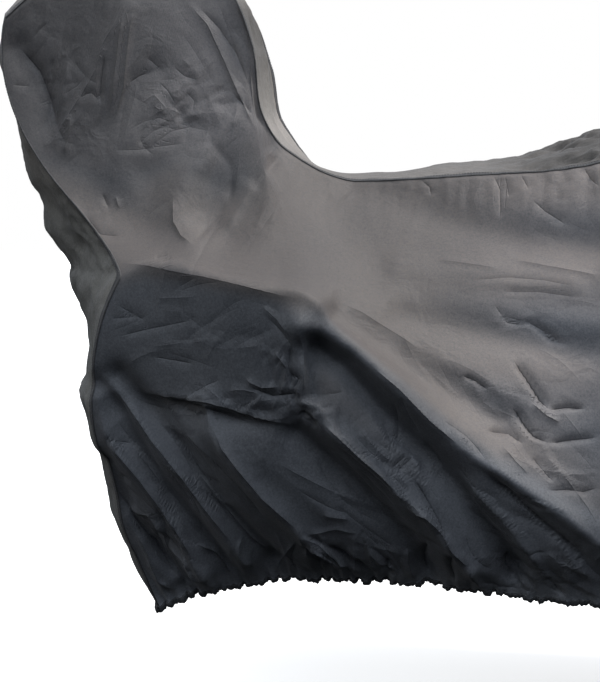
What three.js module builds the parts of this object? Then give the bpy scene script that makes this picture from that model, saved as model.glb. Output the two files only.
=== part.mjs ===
// Fitted full-length motorcycle cover in dark grey coated cloth, standing in the shape in which it hangs.
// It is sewn from two side cuts and one centre strip that runs over the whole length between them.
// +X is forward, +Y is the left side, +Z is up, and all sizes are in millimetres.
// The tables count forward from the foot of the tail and up from the ground. The origin lies just under the
// cloth, in the middle of the low saddle of its top, where the cover rests on what it covers.
import * as THREE from 'three';

// Driving sizes: thickness of the cloth, gap left along a seam, and where the tables have the origin
const SHEET = 2;
const SEAM_GAP = 0.3;
const REST = { x: 150, z: 1000 };

// Cells of a side cut up to the last of the rear sections, from there to the front edge, and from seam to
// hem, and cells across the centre strip
const CELLS = { rear: 42, front: 16, down: 30, across: 6 };
const REAR_SECTIONS = 9;

// Part of a section over which its shoulder is rounded, and the flattest corner that a seam edge may make
const SHOULDER_SOFTNESS = 0.025;
const LEAST_SLANT = 0.5;

// Which way a cut faces, as a sign along +Y, and the sign that the strip shares with the left side
const RIGHT = -1;
const LEFT = 1;
const STRIP = 1;

const CLOTH = { color: 0x5d5d60, roughness: 0.72, metalness: 0 };

// Sections of a side cut from the rear edge to the front edge.
// seam, shoulder and hem are points: forward, half width, height. The cloth falls from the seam to the
// shoulder, which is its widest line, and from there to the hem. brow, ledge, wall and tuck steer it in
// between, as steps outward and upward from the seam, the shoulder, the shoulder and the hem. lean holds
// the forward step of each of the four, and far is how much further back the seam sits on the left side.
const SECTIONS = [
  { at: 'rear edge', seam: [-529, 235, 1275], brow: [6, -235], ledge: [-95, 95], shoulder: [-285, 372, 815],
    wall: [6, -200], tuck: [120, 150], hem: [-279, 105, 176], lean: [-44, -44, -125, -35], far: 0 },
  { at: 'tail back', seam: [-455, 218, 1332], brow: [30, -300], ledge: [-150, 60], shoulder: [-232, 388, 836],
    wall: [8, -260], tuck: [140, 95], hem: [-219, 125, 206], lean: [-20, -20, -60, -20], far: -6 },
  { at: 'tail mid', seam: [-325, 210, 1354], brow: [38, -320], ledge: [-170, 50], shoulder: [-158, 416, 828],
    wall: [6, -295], tuck: [150, 70], hem: [-141, 145, 231], lean: [-4, -4, -16, -6], far: -12 },
  { at: 'tail front', seam: [-148, 214, 1338], brow: [34, -310], ledge: [-180, 55], shoulder: [-80, 438, 812],
    wall: [4, -310], tuck: [155, 60], hem: [-70, 158, 249], lean: [0, 0, 0, 0], far: -30 },
  { at: 'tail foot', seam: [-80, 234, 1222], brow: [10, -190], ledge: [-175, 60], shoulder: [-12, 443, 802],
    wall: [3, -310], tuck: [155, 55], hem: [-5, 168, 256], lean: [0, 0, 0, 0], far: -40 },
  { at: 'saddle root', seam: [-62, 197, 1088], brow: [18, -90], ledge: [-165, 75], shoulder: [48, 441, 788],
    wall: [2, -300], tuck: [150, 55], hem: [50, 176, 259], lean: [0, 0, 0, 0], far: -24 },
  { at: 'saddle back', seam: [25, 161, 1004], brow: [40, -60], ledge: [-120, 120], shoulder: [115, 434, 716],
    wall: [2, -245], tuck: [145, 55], hem: [115, 187, 261], lean: [0, 0, 0, 0], far: -8 },
  { at: 'saddle', seam: [130, 150, 989], brow: [50, -60], ledge: [-90, 140], shoulder: [205, 425, 634],
    wall: [0, -190], tuck: [135, 52], hem: [205, 205, 261], lean: [0, 0, 0, 0], far: 0 },
  { at: 'saddle front', seam: [300, 154, 991], brow: [60, -70], ledge: [-60, 170], shoulder: [340, 412, 528],
    wall: [-4, -125], tuck: [112, 52], hem: [350, 235, 256], lean: [0, 0, 0, 0], far: 0 },
  { at: 'rise foot', seam: [534, 195, 1013], brow: [70, -90], ledge: [-40, 240], shoulder: [545, 395, 402],
    wall: [-10, -50], tuck: [70, 60], hem: [540, 280, 250], lean: [0, 0, 0, 0], far: 0 },
  { at: 'rise', seam: [770, 208, 1105], brow: [105, -120], ledge: [-10, 320], shoulder: [780, 385, 410],
    wall: [-10, -60], tuck: [60, 60], hem: [775, 285, 245], lean: [0, 0, 0, 0], far: 0 },
  { at: 'hood', seam: [985, 216, 1245], brow: [290, -90], ledge: [60, 420], shoulder: [1010, 370, 440],
    wall: [-12, -70], tuck: [60, 70], hem: [1005, 265, 236], lean: [0, 0, 0, 0], far: 0 },
  { at: 'peak', seam: [1140, 205, 1372], brow: [210, -150], ledge: [50, 420], shoulder: [1230, 335, 470],
    wall: [-15, -80], tuck: [60, 80], hem: [1225, 230, 224], lean: [0, 0, 0, 0], far: 0 },
  { at: 'peak front', seam: [1262, 190, 1335], brow: [90, -240], ledge: [10, 330], shoulder: [1445, 275, 500],
    wall: [-15, -100], tuck: [60, 90], hem: [1440, 185, 208], lean: [22, 0, 0, 0], far: 0 },
  { at: 'nose', seam: [1372, 172, 1180], brow: [40, -190], ledge: [0, 220], shoulder: [1630, 208, 520],
    wall: [-12, -110], tuck: [40, 100], hem: [1625, 145, 194], lean: [50, 0, 10, 8], far: 0 },
  { at: 'front edge', seam: [1478, 152, 1005], brow: [4, -110], ledge: [6, 170], shoulder: [1762, 138, 540],
    wall: [-8, -130], tuck: [20, 110], hem: [1768, 100, 182], lean: [82, -6, 25, 14], far: 0 },
];

// Crown of the centre strip: how far its middle stands out of the line between the two seams.
// way counts 0 at the rear hem, 1 at the top of the rear seam, 2 at the top of the front seam and 3 at
// the front hem. aim is the direction it stands out in, as degrees above forward. full is 2 for a round
// crown and more for a flatter one with rounder edges.
const CROWN = [
  { way: 0.00, rise: 20, aim: 200, full: 2.0 },
  { way: 0.10, rise: 50, aim: 190, full: 2.0 },
  { way: 0.20, rise: 68, aim: 184, full: 2.0 },
  { way: 0.34, rise: 66, aim: 180, full: 2.2 },
  { way: 0.42, rise: 90, aim: 180, full: 2.2 },
  { way: 0.50, rise: 172, aim: 178, full: 2.2 },
  { way: 0.60, rise: 176, aim: 178, full: 2.2 },
  { way: 0.70, rise: 128, aim: 176, full: 2.4 },
  { way: 0.88, rise: 48, aim: 172, full: 2.8 },
  { way: 1.00, rise: 44, aim: 146, full: 2.8 },
  { way: 1.10, rise: 44, aim: 98, full: 2.6 },
  { way: 1.20, rise: 8, aim: 66, full: 2.4 },
  { way: 1.27, rise: 14, aim: 20, full: 2.2 },
  { way: 1.34, rise: 4, aim: 30, full: 2.2 },
  { way: 1.40, rise: 4, aim: 70, full: 2.2 },
  { way: 1.47, rise: 14, aim: 90, full: 2.2 },
  { way: 1.53, rise: 24, aim: 92, full: 2.0 },
  { way: 1.60, rise: 62, aim: 98, full: 1.8 },
  { way: 1.75, rise: 70, aim: 112, full: 2.0 },
  { way: 1.87, rise: 60, aim: 80, full: 2.0 },
  { way: 2.00, rise: 70, aim: 40, full: 2.0 },
  { way: 2.50, rise: 84, aim: 14, full: 2.0 },
  { way: 3.00, rise: 42, aim: -14, full: 2.0 },
];

// Folds of the side cuts, as seen from the side: a line of points, forward and height above the ground,
// how far the cloth stands out along it, less than nothing for a trough, and half the width of the fold.
const RIGHT_FOLDS = [
  { at: 'tail belly', line: [[-298, 1281], [-301, 1193], [-310, 1087], [-313, 1004]],
    rise: 18, width: 110 },
  { at: 'tail side ridge', line: [[-304, 1284], [-351, 1179], [-413, 1042]], rise: 6, width: 28 },
  { at: 'tail side hollow', line: [[-254, 1176], [-342, 1079]], rise: -6, width: 32 },
  { at: 'tail rear trough', line: [[-507, 1219], [-457, 1136], [-444, 1091]], rise: -9, width: 28 },
  { at: 'hollow under the tail', line: [[-169, 1061], [-212, 1014], [-257, 990]], rise: -9, width: 34 },
  { at: 'round fold at the saddle', line: [[-115, 1086], [-191, 996], [-203, 920], [-169, 867]],
    rise: 14, width: 40 },
  { at: 'trough ahead of it', line: [[-113, 1101], [-130, 1035], [-152, 912]], rise: -8, width: 32 },
  { at: 'saddle trough', line: [[-48, 1040], [-82, 942], [-106, 891]], rise: -8, width: 32 },
  { at: 'flank line', line: [[187, 830], [258, 820], [482, 801]], rise: 5, width: 26 },
  { at: 'crest over the flank hollow', line: [[183, 776], [259, 773], [378, 755], [527, 735]],
    rise: 4, width: 30 },
  { at: 'flank hollow', line: [[203, 746], [279, 734], [396, 709], [526, 691]], rise: -9, width: 32 },
  { at: 'crest over the sloping hollow', line: [[76, 778], [128, 758], [213, 706], [306, 653], [373, 617]],
    rise: 8, width: 26 },
  { at: 'sloping hollow', line: [[97, 756], [141, 724], [233, 667], [318, 613], [375, 580]],
    rise: -14, width: 28 },
  { at: 'main ridge', rise: 18, width: 27,
    line: [[37, 740], [85, 720], [120, 698], [199, 627], [301, 536], [417, 462], [529, 384]] },
  { at: 'deep valley under it', line: [[62, 699], [108, 668], [182, 579], [266, 495], [335, 398], [390, 305]],
    rise: -31, width: 26 },
  { at: 'second ridge', line: [[58, 589], [102, 550], [168, 490], [243, 423], [287, 361], [318, 324]],
    rise: 24, width: 27 },
  { at: 'second valley', line: [[26, 550], [64, 514], [143, 430], [212, 341], [236, 289]],
    rise: -25, width: 27 },
  { at: 'third ridge', line: [[-128, 600], [-114, 551], [-54, 465], [18, 389], [50, 346]],
    rise: 25, width: 28 },
  { at: 'third valley', line: [[-302, 635], [-265, 595], [-201, 524], [-158, 452], [-101, 372], [-50, 296]],
    rise: -28, width: 28 },
  { at: 'fourth ridge', line: [[-321, 633], [-290, 594], [-236, 531], [-184, 460], [-135, 386], [-85, 306]],
    rise: 24, width: 25 },
  { at: 'fourth valley', line: [[-333, 623], [-315, 591], [-275, 522], [-238, 450], [-176, 359], [-136, 278]],
    rise: -22, width: 25 },
  { at: 'fifth ridge', line: [[-334, 600], [-318, 533], [-267, 456], [-222, 382], [-184, 303], [-171, 274]],
    rise: 22, width: 26 },
  { at: 'fifth valley', line: [[-340, 470], [-308, 382], [-252, 296], [-222, 237]],
    rise: -19, width: 26 },
  { at: 'low corner ridge', line: [[-314, 370], [-289, 316], [-245, 240]], rise: 12, width: 24 },
  { at: 'full part behind the hem', line: [[-37, 514], [76, 416]], rise: 10, width: 50 },
  { at: 'crease under the side bulge', line: [[-304, 586], [-209, 586], [-30, 573]],
    rise: -9, width: 24 },
  { at: 'front edge of the side bulge', line: [[34, 753], [34, 698], [35, 629]], rise: 11, width: 24 },
  { at: 'tuck ahead of the side bulge', line: [[62, 703], [69, 637]], rise: -11, width: 26 },
  { at: 'ridge run on to the front', line: [[620, 330], [760, 300], [905, 262]], rise: 15, width: 40 },
  { at: 'valley run on to the front', line: [[600, 520], [760, 455], [930, 395]], rise: -15, width: 44 },
  { at: 'fall from the hood', line: [[930, 1010], [880, 800], [800, 610]], rise: 16, width: 48 },
  { at: 'hollow behind it', line: [[760, 960], [730, 800], [650, 650]], rise: -14, width: 50 },
  { at: 'front fall from the hood', line: [[1090, 1010], [1180, 760], [1260, 520]], rise: 15, width: 48 },
  { at: 'hollow between the falls', line: [[1020, 820], [1035, 620], [1050, 400]], rise: -16, width: 56 },
  { at: 'long nose fold', line: [[1330, 980], [1480, 700], [1590, 420]], rise: -13, width: 46 },
  { at: 'low nose ridge', line: [[1320, 560], [1420, 380], [1470, 230]], rise: 13, width: 42 },
];
const LEFT_FOLDS = [
  { at: 'tail side hollow', line: [[-300, 1240], [-350, 1120], [-330, 1010]], rise: -11, width: 36 },
  { at: 'tail side ridge', line: [[-420, 1230], [-400, 1120], [-330, 960]], rise: 9, width: 32 },
  { at: 'hollow under the tail', line: [[-160, 1080], [-235, 1000], [-300, 970]], rise: -13, width: 36 },
  { at: 'fold at the saddle', line: [[-110, 1060], [-150, 980], [-130, 890]], rise: 18, width: 40 },
  { at: 'saddle trough', line: [[-20, 1010], [-60, 930], [-70, 860]], rise: -13, width: 32 },
  { at: 'flank hollow', line: [[60, 870], [230, 800], [470, 770]], rise: -11, width: 40 },
  { at: 'flank fold', line: [[100, 770], [300, 700], [520, 640]], rise: 10, width: 34 },
  { at: 'main ridge', line: [[48, 782], [150, 676], [300, 560], [420, 440], [520, 340]],
    rise: 15, width: 30 },
  { at: 'deep valley under it', line: [[60, 690], [190, 540], [330, 430], [430, 330]], rise: -22, width: 30 },
  { at: 'second ridge', line: [[20, 650], [110, 520], [220, 420], [290, 290]], rise: 17, width: 34 },
  { at: 'second valley', line: [[-20, 590], [70, 460], [130, 330]], rise: -18, width: 32 },
  { at: 'crease under the side bulge', line: [[-260, 600], [-120, 570], [0, 585]], rise: -10, width: 28 },
  { at: 'front edge of the side bulge', line: [[36, 775], [30, 700], [20, 640]], rise: 12, width: 28 },
  { at: 'rear low ridge', line: [[-300, 600], [-200, 450], [-110, 270]], rise: 17, width: 30 },
  { at: 'trough ahead of it', line: [[-240, 590], [-120, 430], [-60, 290]], rise: -17, width: 30 },
  { at: 'rearmost trough', line: [[-325, 520], [-260, 380], [-200, 260]], rise: -14, width: 28 },
  { at: 'low ridge', line: [[360, 440], [470, 360], [600, 300]], rise: 13, width: 34 },
  { at: 'valley run on to the front', line: [[620, 560], [800, 470], [960, 330]], rise: -16, width: 46 },
  { at: 'fall from the hood', line: [[950, 1010], [920, 780], [860, 560]], rise: 16, width: 48 },
  { at: 'hollow behind it', line: [[780, 940], [760, 760], [700, 620]], rise: -14, width: 52 },
  { at: 'front fall from the hood', line: [[1120, 980], [1170, 740], [1190, 480]], rise: 14, width: 48 },
  { at: 'hollow between the falls', line: [[1030, 780], [1060, 560], [1110, 360]], rise: -15, width: 54 },
  { at: 'long nose fold', line: [[1300, 940], [1400, 700], [1540, 460]], rise: -14, width: 46 },
  { at: 'low nose ridge', line: [[1400, 520], [1480, 380], [1540, 240]], rise: 12, width: 40 },
];

// Folds of the centre strip, by how far along its right seam from the rear hem and how far across it from
// the middle towards the left seam.
const STRIP_FOLDS = [
  { at: 'rear corner fold', line: [[485, -330], [505, -150], [498, 60]], rise: 14, width: 34 },
  { at: 'dip over it', line: [[580, -340], [600, -80], [592, 220]], rise: -12, width: 40 },
  { at: 'tail crack', line: [[800, -260], [900, -215], [1010, -225]], rise: -12, width: 30 },
  { at: 'tail back fold', line: [[760, 150], [900, 60], [1050, 90]], rise: -10, width: 36 },
  { at: 'crumpled tail corner', line: [[1225, -170], [1240, -20], [1215, 150]], rise: 9, width: 26 },
  { at: 'dip beside it', line: [[1160, -180], [1175, 0], [1150, 170]], rise: -8, width: 28 },
  { at: 'tail top fold', line: [[1370, -140], [1480, 20], [1570, 150]], rise: 8, width: 34 },
  { at: 'front slope fold', line: [[1760, -150], [1850, -60], [1960, -70]], rise: 10, width: 30 },
  { at: 'front slope dip', line: [[1740, 60], [1860, 50], [1980, 20]], rise: -9, width: 34 },
  { at: 'first rise fold', line: [[2290, -120], [2420, -60], [2560, -40]], rise: -9, width: 28 },
  { at: 'second rise fold', line: [[2330, 60], [2470, 70], [2640, 10]], rise: 9, width: 34 },
  { at: 'hood fold', line: [[2760, -120], [2800, 20], [2770, 150]], rise: -10, width: 44 },
  { at: 'peak fold', line: [[3120, -110], [3170, 20], [3130, 130]], rise: 9, width: 44 },
  { at: 'nose dip', line: [[3500, -90], [3620, 20], [3760, 60]], rise: -10, width: 44 },
  { at: 'front low fold', line: [[4020, 80], [4160, 10], [4300, -50]], rise: 9, width: 40 },
];

// Smooth curve through evenly numbered values, read at any place between the first and the last.
function through(values, place) {
  const last = values.length - 1;
  const start = Math.min(Math.floor(place), last - 1);
  const t = place - start;
  const before = values[Math.max(start - 1, 0)];
  const a = values[start];
  const b = values[start + 1];
  const after = values[Math.min(start + 2, last)];
  const leave = (b - before) / 2;
  const arrive = (after - a) / 2;
  const square = 3 * (b - a) - 2 * leave - arrive;
  const cube = 2 * (a - b) + leave + arrive;
  return a + t * (leave + t * (square + t * cube));
}

// One section of the table at any place between its rows.
function sectionAt(place) {
  const column = (key, index) => through(SECTIONS.map((row) => row[key][index]), place);
  const point = (key) => new THREE.Vector3(column(key, 0), column(key, 1), column(key, 2));
  const step = (key, part) => new THREE.Vector3(column('lean', part), column(key, 0), column(key, 1));
  const [seam, shoulder, hem] = [point('seam'), point('shoulder'), point('hem')];
  const [brow, ledge] = [step('brow', 0).add(seam), step('ledge', 1).add(shoulder)];
  const [wall, tuck] = [step('wall', 2).add(shoulder), step('tuck', 3).add(hem)];
  return {
    upper: new THREE.CubicBezierCurve3(seam, brow, ledge, shoulder),
    lower: new THREE.CubicBezierCurve3(shoulder, wall, tuck, hem),
    far: through(SECTIONS.map((row) => row.far), place),
  };
}

// Point of a section, drop 0 at the seam, 0.5 at the shoulder and 1 at the hem. It is averaged with its two
// neighbours, which rounds the shoulder.
function fall(section, drop) {
  const read = (at) => (at < 0.5 ? section.upper.getPoint(2 * at) : section.lower.getPoint(2 * at - 1));
  const reach = Math.min(SHOULDER_SOFTNESS, drop, 1 - drop);
  return read(drop).multiplyScalar(2).add(read(drop - reach)).add(read(drop + reach)).multiplyScalar(0.25);
}

// How far the folds of a table push the cloth out at a place given in the table's two directions.
function foldRise(folds, across, up) {
  let rise = 0;
  for (const fold of folds) {
    let nearest = Infinity;
    for (let i = 0; i + 1 < fold.line.length; i += 1) {
      const [ax, ay] = fold.line[i];
      const [bx, by] = [fold.line[i + 1][0] - ax, fold.line[i + 1][1] - ay];
      const t = THREE.MathUtils.clamp(((across - ax) * bx + (up - ay) * by) / (bx * bx + by * by), 0, 1);
      nearest = Math.min(nearest, Math.hypot(across - ax - t * bx, up - ay - t * by));
    }
    rise += fold.rise * Math.exp(-((nearest / fold.width) ** 2));
  }
  return rise;
}

// Moves each point of a grid out along its normal by what the folds give there.
function applyFolds(grid, facing, riseAt) {
  const normals = gridNormals(grid, facing);
  const rises = grid.map((line, i) => line.map((point, k) => riseAt(point, i, k)));
  grid.forEach((line, i) => line.forEach((point, k) => point.addScaledVector(normals[i][k], rises[i][k])));
}

// Place in the section table of each line of a side cut. The rear half, with more folds, has more lines.
const ALONG = CELLS.rear + CELLS.front;
function placeOf(i) {
  if (i <= CELLS.rear) return (i / CELLS.rear) * REAR_SECTIONS;
  return REAR_SECTIONS + ((i - CELLS.rear) / CELLS.front) * (SECTIONS.length - 1 - REAR_SECTIONS);
}

// Grid of points of one side cut, from the rear edge to the front edge and from the seam to the hem.
function sideGrid(side, folds) {
  const grid = [];
  for (let i = 0; i <= ALONG; i += 1) {
    const section = sectionAt(placeOf(i));
    const line = [];
    for (let k = 0; k <= CELLS.down; k += 1) {
      const drop = k / CELLS.down;
      const point = fall(section, drop);
      if (side === LEFT) point.x += section.far * (1 - drop);
      line.push(new THREE.Vector3(point.x, side * point.y, point.z));
    }
    grid.push(line);
  }
  applyFolds(grid, side, (point) => foldRise(folds, point.x, point.z));
  return grid;
}

// The edge that a side cut shares with the centre strip, from the rear hem over the top to the front hem.
function seamLine(grid) {
  const rear = grid[0].slice(1).reverse();
  const top = grid.map((line) => line[0]);
  const front = grid[grid.length - 1].slice(1);
  return [...rear, ...top, ...front];
}

// How far along a seam point lies, counted as in the crown table.
function wayOf(index) {
  const { down } = CELLS;
  if (index < down) return index / down;
  if (index < down + ALONG) return 1 + placeOf(index - down) / (SECTIONS.length - 1);
  return 2 + (index - down - ALONG) / down;
}

// Crown table read at any way.
function crownAt(way) {
  const next = Math.max(1, CROWN.findIndex((row) => row.way >= way));
  const [a, b] = [CROWN[next - 1], CROWN[next]];
  const t = THREE.MathUtils.smoothstep(way, a.way, b.way);
  const read = (key) => THREE.MathUtils.lerp(a[key], b[key], t);
  return { rise: read('rise'), aim: THREE.MathUtils.degToRad(read('aim')), full: read('full') };
}

// Grid of the centre strip, one line across for each seam point.
function centreGrid(rightSeam, leftSeam) {
  const grid = rightSeam.map((right, i) => {
    const left = leftSeam[i];
    const { rise, aim, full } = crownAt(wayOf(i));
    const outward = new THREE.Vector3(Math.cos(aim), 0, Math.sin(aim));
    const line = [];
    for (let k = 0; k <= CELLS.across; k += 1) {
      const t = k / CELLS.across;
      const crown = rise * (1 - Math.abs(2 * t - 1) ** full);
      line.push(right.clone().lerp(left, t).addScaledVector(outward, crown));
    }
    return line;
  });
  const reach = [0];
  rightSeam.slice(1).forEach((point, i) => reach.push(reach[i] + point.distanceTo(rightSeam[i])));
  applyFolds(grid, STRIP, (point, i, k) => {
    const sewn = k === 0 || k === CELLS.across;
    return sewn ? 0 : foldRise(STRIP_FOLDS, reach[i], point.y);
  });
  return grid;
}

// Outward normals of a grid, from the cells that meet at each point.
function gridNormals(grid, facing) {
  const normals = grid.map((line) => line.map(() => new THREE.Vector3()));
  for (let i = 0; i + 1 < grid.length; i += 1) {
    for (let k = 0; k + 1 < grid[i].length; k += 1) {
      const diagonal = grid[i + 1][k + 1].clone().sub(grid[i][k]);
      const cross = grid[i][k + 1].clone().sub(grid[i + 1][k]);
      const cell = diagonal.cross(cross).multiplyScalar(facing);
      for (const [di, dk] of [[0, 0], [1, 0], [0, 1], [1, 1]]) normals[i + di][k + dk].add(cell);
    }
  }
  for (const line of normals) line.forEach((normal) => normal.normalize());
  return normals;
}

// Closed solid between an outer grid and an inner one, with a rim round its four edges.
function sheetSolid(outer, inner, facing) {
  const rows = outer.length;
  const columns = outer[0].length;
  const last = columns - 1;
  const positions = [outer, inner].flat(2).flatMap((point) => [point.x, point.y, point.z]);
  const faces = [];
  const index = (layer, i, k) => (layer * rows + i) * columns + k;
  const quad = (a, b, c, d) => {
    const corners = facing === RIGHT ? [a, d, c, b] : [a, b, c, d];
    faces.push(corners[0], corners[1], corners[2], corners[0], corners[2], corners[3]);
  };
  for (let i = 0; i + 1 < rows; i += 1) {
    for (let k = 0; k + 1 < columns; k += 1) {
      quad(index(0, i, k), index(0, i + 1, k), index(0, i + 1, k + 1), index(0, i, k + 1));
      quad(index(1, i, k), index(1, i, k + 1), index(1, i + 1, k + 1), index(1, i + 1, k));
    }
    quad(index(0, i + 1, 0), index(0, i, 0), index(1, i, 0), index(1, i + 1, 0));
    quad(index(0, i + 1, last), index(1, i + 1, last), index(1, i, last), index(0, i, last));
  }
  for (let k = 0; k + 1 < columns; k += 1) {
    quad(index(0, 0, k), index(0, 0, k + 1), index(1, 0, k + 1), index(1, 0, k));
    const end = rows - 1;
    quad(index(0, end, k + 1), index(0, end, k), index(1, end, k), index(1, end, k + 1));
  }
  const geometry = new THREE.BufferGeometry();
  geometry.setAttribute('position', new THREE.Float32BufferAttribute(positions, 3));
  geometry.setIndex(faces);
  geometry.computeVertexNormals();
  return geometry;
}

const rightGrid = sideGrid(RIGHT, RIGHT_FOLDS);
const leftGrid = sideGrid(LEFT, LEFT_FOLDS);
const stripGrid = centreGrid(seamLine(rightGrid), seamLine(leftGrid));
const rightNormals = gridNormals(rightGrid, RIGHT);
const leftNormals = gridNormals(leftGrid, LEFT);
const stripNormals = gridNormals(stripGrid, STRIP);

// Along a seam both cloths get the same slanting edge, halfway between their two faces, and each stands
// back from it by half the gap.
function joinSeam(sideLine, sideNormals, edge) {
  const joints = sideLine.map((point, i) => {
    const stripNormal = stripNormals[i][edge];
    const normal = sideNormals[i].clone().add(stripNormal).normalize();
    const along = sideLine[Math.min(i + 1, sideLine.length - 1)].clone().sub(sideLine[Math.max(i - 1, 0)]);
    const inward = normal.clone().cross(along).normalize();
    const toStrip = stripGrid[i][CELLS.across / 2].clone().sub(point);
    if (inward.dot(toStrip) < 0) inward.negate();
    return { normal, slant: 1 / Math.max(normal.dot(stripNormal), LEAST_SLANT), inward };
  });
  joints.forEach(({ normal, slant, inward }, i) => {
    sideLine[i].addScaledVector(inward, -SEAM_GAP / 2);
    stripGrid[i][edge].addScaledVector(inward, SEAM_GAP / 2);
    sideNormals[i].copy(normal).multiplyScalar(slant);
    stripNormals[i][edge].copy(sideNormals[i]);
  });
}
joinSeam(seamLine(rightGrid), seamLine(rightNormals), 0);
joinSeam(seamLine(leftGrid), seamLine(leftNormals), CELLS.across);

// A piece lies between its outer grid and the same grid a sheet deeper.
function clothPiece(name, grid, normals, facing) {
  const deeper = (point, i, k) => point.clone().addScaledVector(normals[i][k], -SHEET);
  const inner = grid.map((line, i) => line.map((point, k) => deeper(point, i, k)));
  const mesh = new THREE.Mesh(sheetSolid(grid, inner, facing), new THREE.MeshStandardMaterial(CLOTH));
  mesh.name = name;
  return mesh;
}

const cover = new THREE.Group();
cover.add(clothPiece('side_panel_right', rightGrid, rightNormals, RIGHT));
cover.add(clothPiece('side_panel_left', leftGrid, leftNormals, LEFT));
cover.add(clothPiece('centre_panel', stripGrid, stripNormals, STRIP));
cover.position.set(-REST.x, 0, -REST.z);

export default cover;
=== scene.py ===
"""Fitted motorcycle cover of dark grey coated cloth, in the shape in which it hangs.

The tables are in millimetres. They count forward from the foot of the tail and up from the ground, as the
part's source does, and REST says where the part's own origin lies there. The scene itself is in metres.
"""
import math

import bpy
import numpy as np
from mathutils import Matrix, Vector


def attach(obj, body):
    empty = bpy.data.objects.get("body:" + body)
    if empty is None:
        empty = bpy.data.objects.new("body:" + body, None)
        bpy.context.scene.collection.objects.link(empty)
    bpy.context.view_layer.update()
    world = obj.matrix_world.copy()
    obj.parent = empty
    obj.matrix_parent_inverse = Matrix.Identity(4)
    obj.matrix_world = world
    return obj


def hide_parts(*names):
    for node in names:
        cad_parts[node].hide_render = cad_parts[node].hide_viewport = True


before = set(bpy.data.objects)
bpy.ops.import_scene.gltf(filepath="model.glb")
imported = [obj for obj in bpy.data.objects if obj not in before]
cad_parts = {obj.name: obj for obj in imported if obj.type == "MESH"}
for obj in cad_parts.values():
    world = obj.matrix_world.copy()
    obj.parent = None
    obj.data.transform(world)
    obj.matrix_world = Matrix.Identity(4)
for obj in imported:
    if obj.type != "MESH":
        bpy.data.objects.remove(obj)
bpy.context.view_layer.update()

MM = 0.001
REST = np.array([150.0, 0.0, 1000.0])
GROUND = -REST[2] * MM
RIGHT, LEFT, STRIP = -1, 1, 1

# Cells of a side cut: along it behind and ahead of the last rear section, and from the seam to the hem. Then
# the cells across the centre strip, the steps in which a section is measured, and the share of it over which
# the shoulder is rounded.
REAR_SECTIONS = 9
REAR_CELLS, FRONT_CELLS, DOWN_CELLS = 300, 84, 258
STRIP_CELLS = 90
FINE_STEPS = 901
SHOULDER_SOFTNESS = 0.006

# Sections of a side cut from the rear edge to the front edge, as in the part's source
COLUMNS = ("at", "seam", "brow", "ledge", "shoulder", "wall", "tuck", "hem", "lean", "far")
SECTIONS = [dict(zip(COLUMNS, row)) for row in (
    ("rear edge", (-529, 235, 1275), (6, -235), (-95, 95), (-285, 372, 815), (6, -200), (120, 150),
     (-279, 105, 176), (-44, -44, -125, -35), 0),
    ("tail back", (-455, 218, 1332), (30, -300), (-150, 60), (-232, 388, 836), (8, -260), (140, 95),
     (-219, 125, 206), (-20, -20, -60, -20), -6),
    ("tail mid", (-325, 210, 1354), (38, -320), (-170, 50), (-158, 416, 828), (6, -295), (150, 70),
     (-141, 145, 231), (-4, -4, -16, -6), -12),
    ("tail front", (-148, 214, 1338), (34, -310), (-180, 55), (-80, 438, 812), (4, -310), (155, 60),
     (-70, 158, 249), (0, 0, 0, 0), -30),
    ("tail foot", (-80, 234, 1222), (10, -190), (-175, 60), (-12, 443, 802), (3, -310), (155, 55),
     (-5, 168, 256), (0, 0, 0, 0), -40),
    ("saddle root", (-62, 197, 1088), (18, -90), (-165, 75), (48, 441, 788), (2, -300), (150, 55),
     (50, 176, 259), (0, 0, 0, 0), -24),
    ("saddle back", (25, 161, 1004), (40, -60), (-120, 120), (115, 434, 716), (2, -245), (145, 55),
     (115, 187, 261), (0, 0, 0, 0), -8),
    ("saddle", (130, 150, 989), (50, -60), (-90, 140), (205, 425, 634), (0, -190), (135, 52),
     (205, 205, 261), (0, 0, 0, 0), 0),
    ("saddle front", (300, 154, 991), (60, -70), (-60, 170), (340, 412, 528), (-4, -125), (112, 52),
     (350, 235, 256), (0, 0, 0, 0), 0),
    ("rise foot", (534, 195, 1013), (70, -90), (-40, 240), (545, 395, 402), (-10, -50), (70, 60),
     (540, 280, 250), (0, 0, 0, 0), 0),
    ("rise", (770, 208, 1105), (105, -120), (-10, 320), (780, 385, 410), (-10, -60), (60, 60),
     (775, 285, 245), (0, 0, 0, 0), 0),
    ("hood", (985, 216, 1245), (290, -90), (60, 420), (1010, 370, 440), (-12, -70), (60, 70),
     (1005, 265, 236), (0, 0, 0, 0), 0),
    ("peak", (1140, 205, 1372), (210, -150), (50, 420), (1230, 335, 470), (-15, -80), (60, 80),
     (1225, 230, 224), (0, 0, 0, 0), 0),
    ("peak front", (1262, 190, 1335), (90, -240), (10, 330), (1445, 275, 500), (-15, -100), (60, 90),
     (1440, 185, 208), (22, 0, 0, 0), 0),
    ("nose", (1372, 172, 1180), (40, -190), (0, 220), (1630, 208, 520), (-12, -110), (40, 100),
     (1625, 145, 194), (50, 0, 10, 8), 0),
    ("front edge", (1478, 152, 1005), (4, -110), (6, 170), (1762, 138, 540), (-8, -130), (20, 110),
     (1768, 100, 182), (82, -6, 25, 14), 0),
)]

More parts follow.
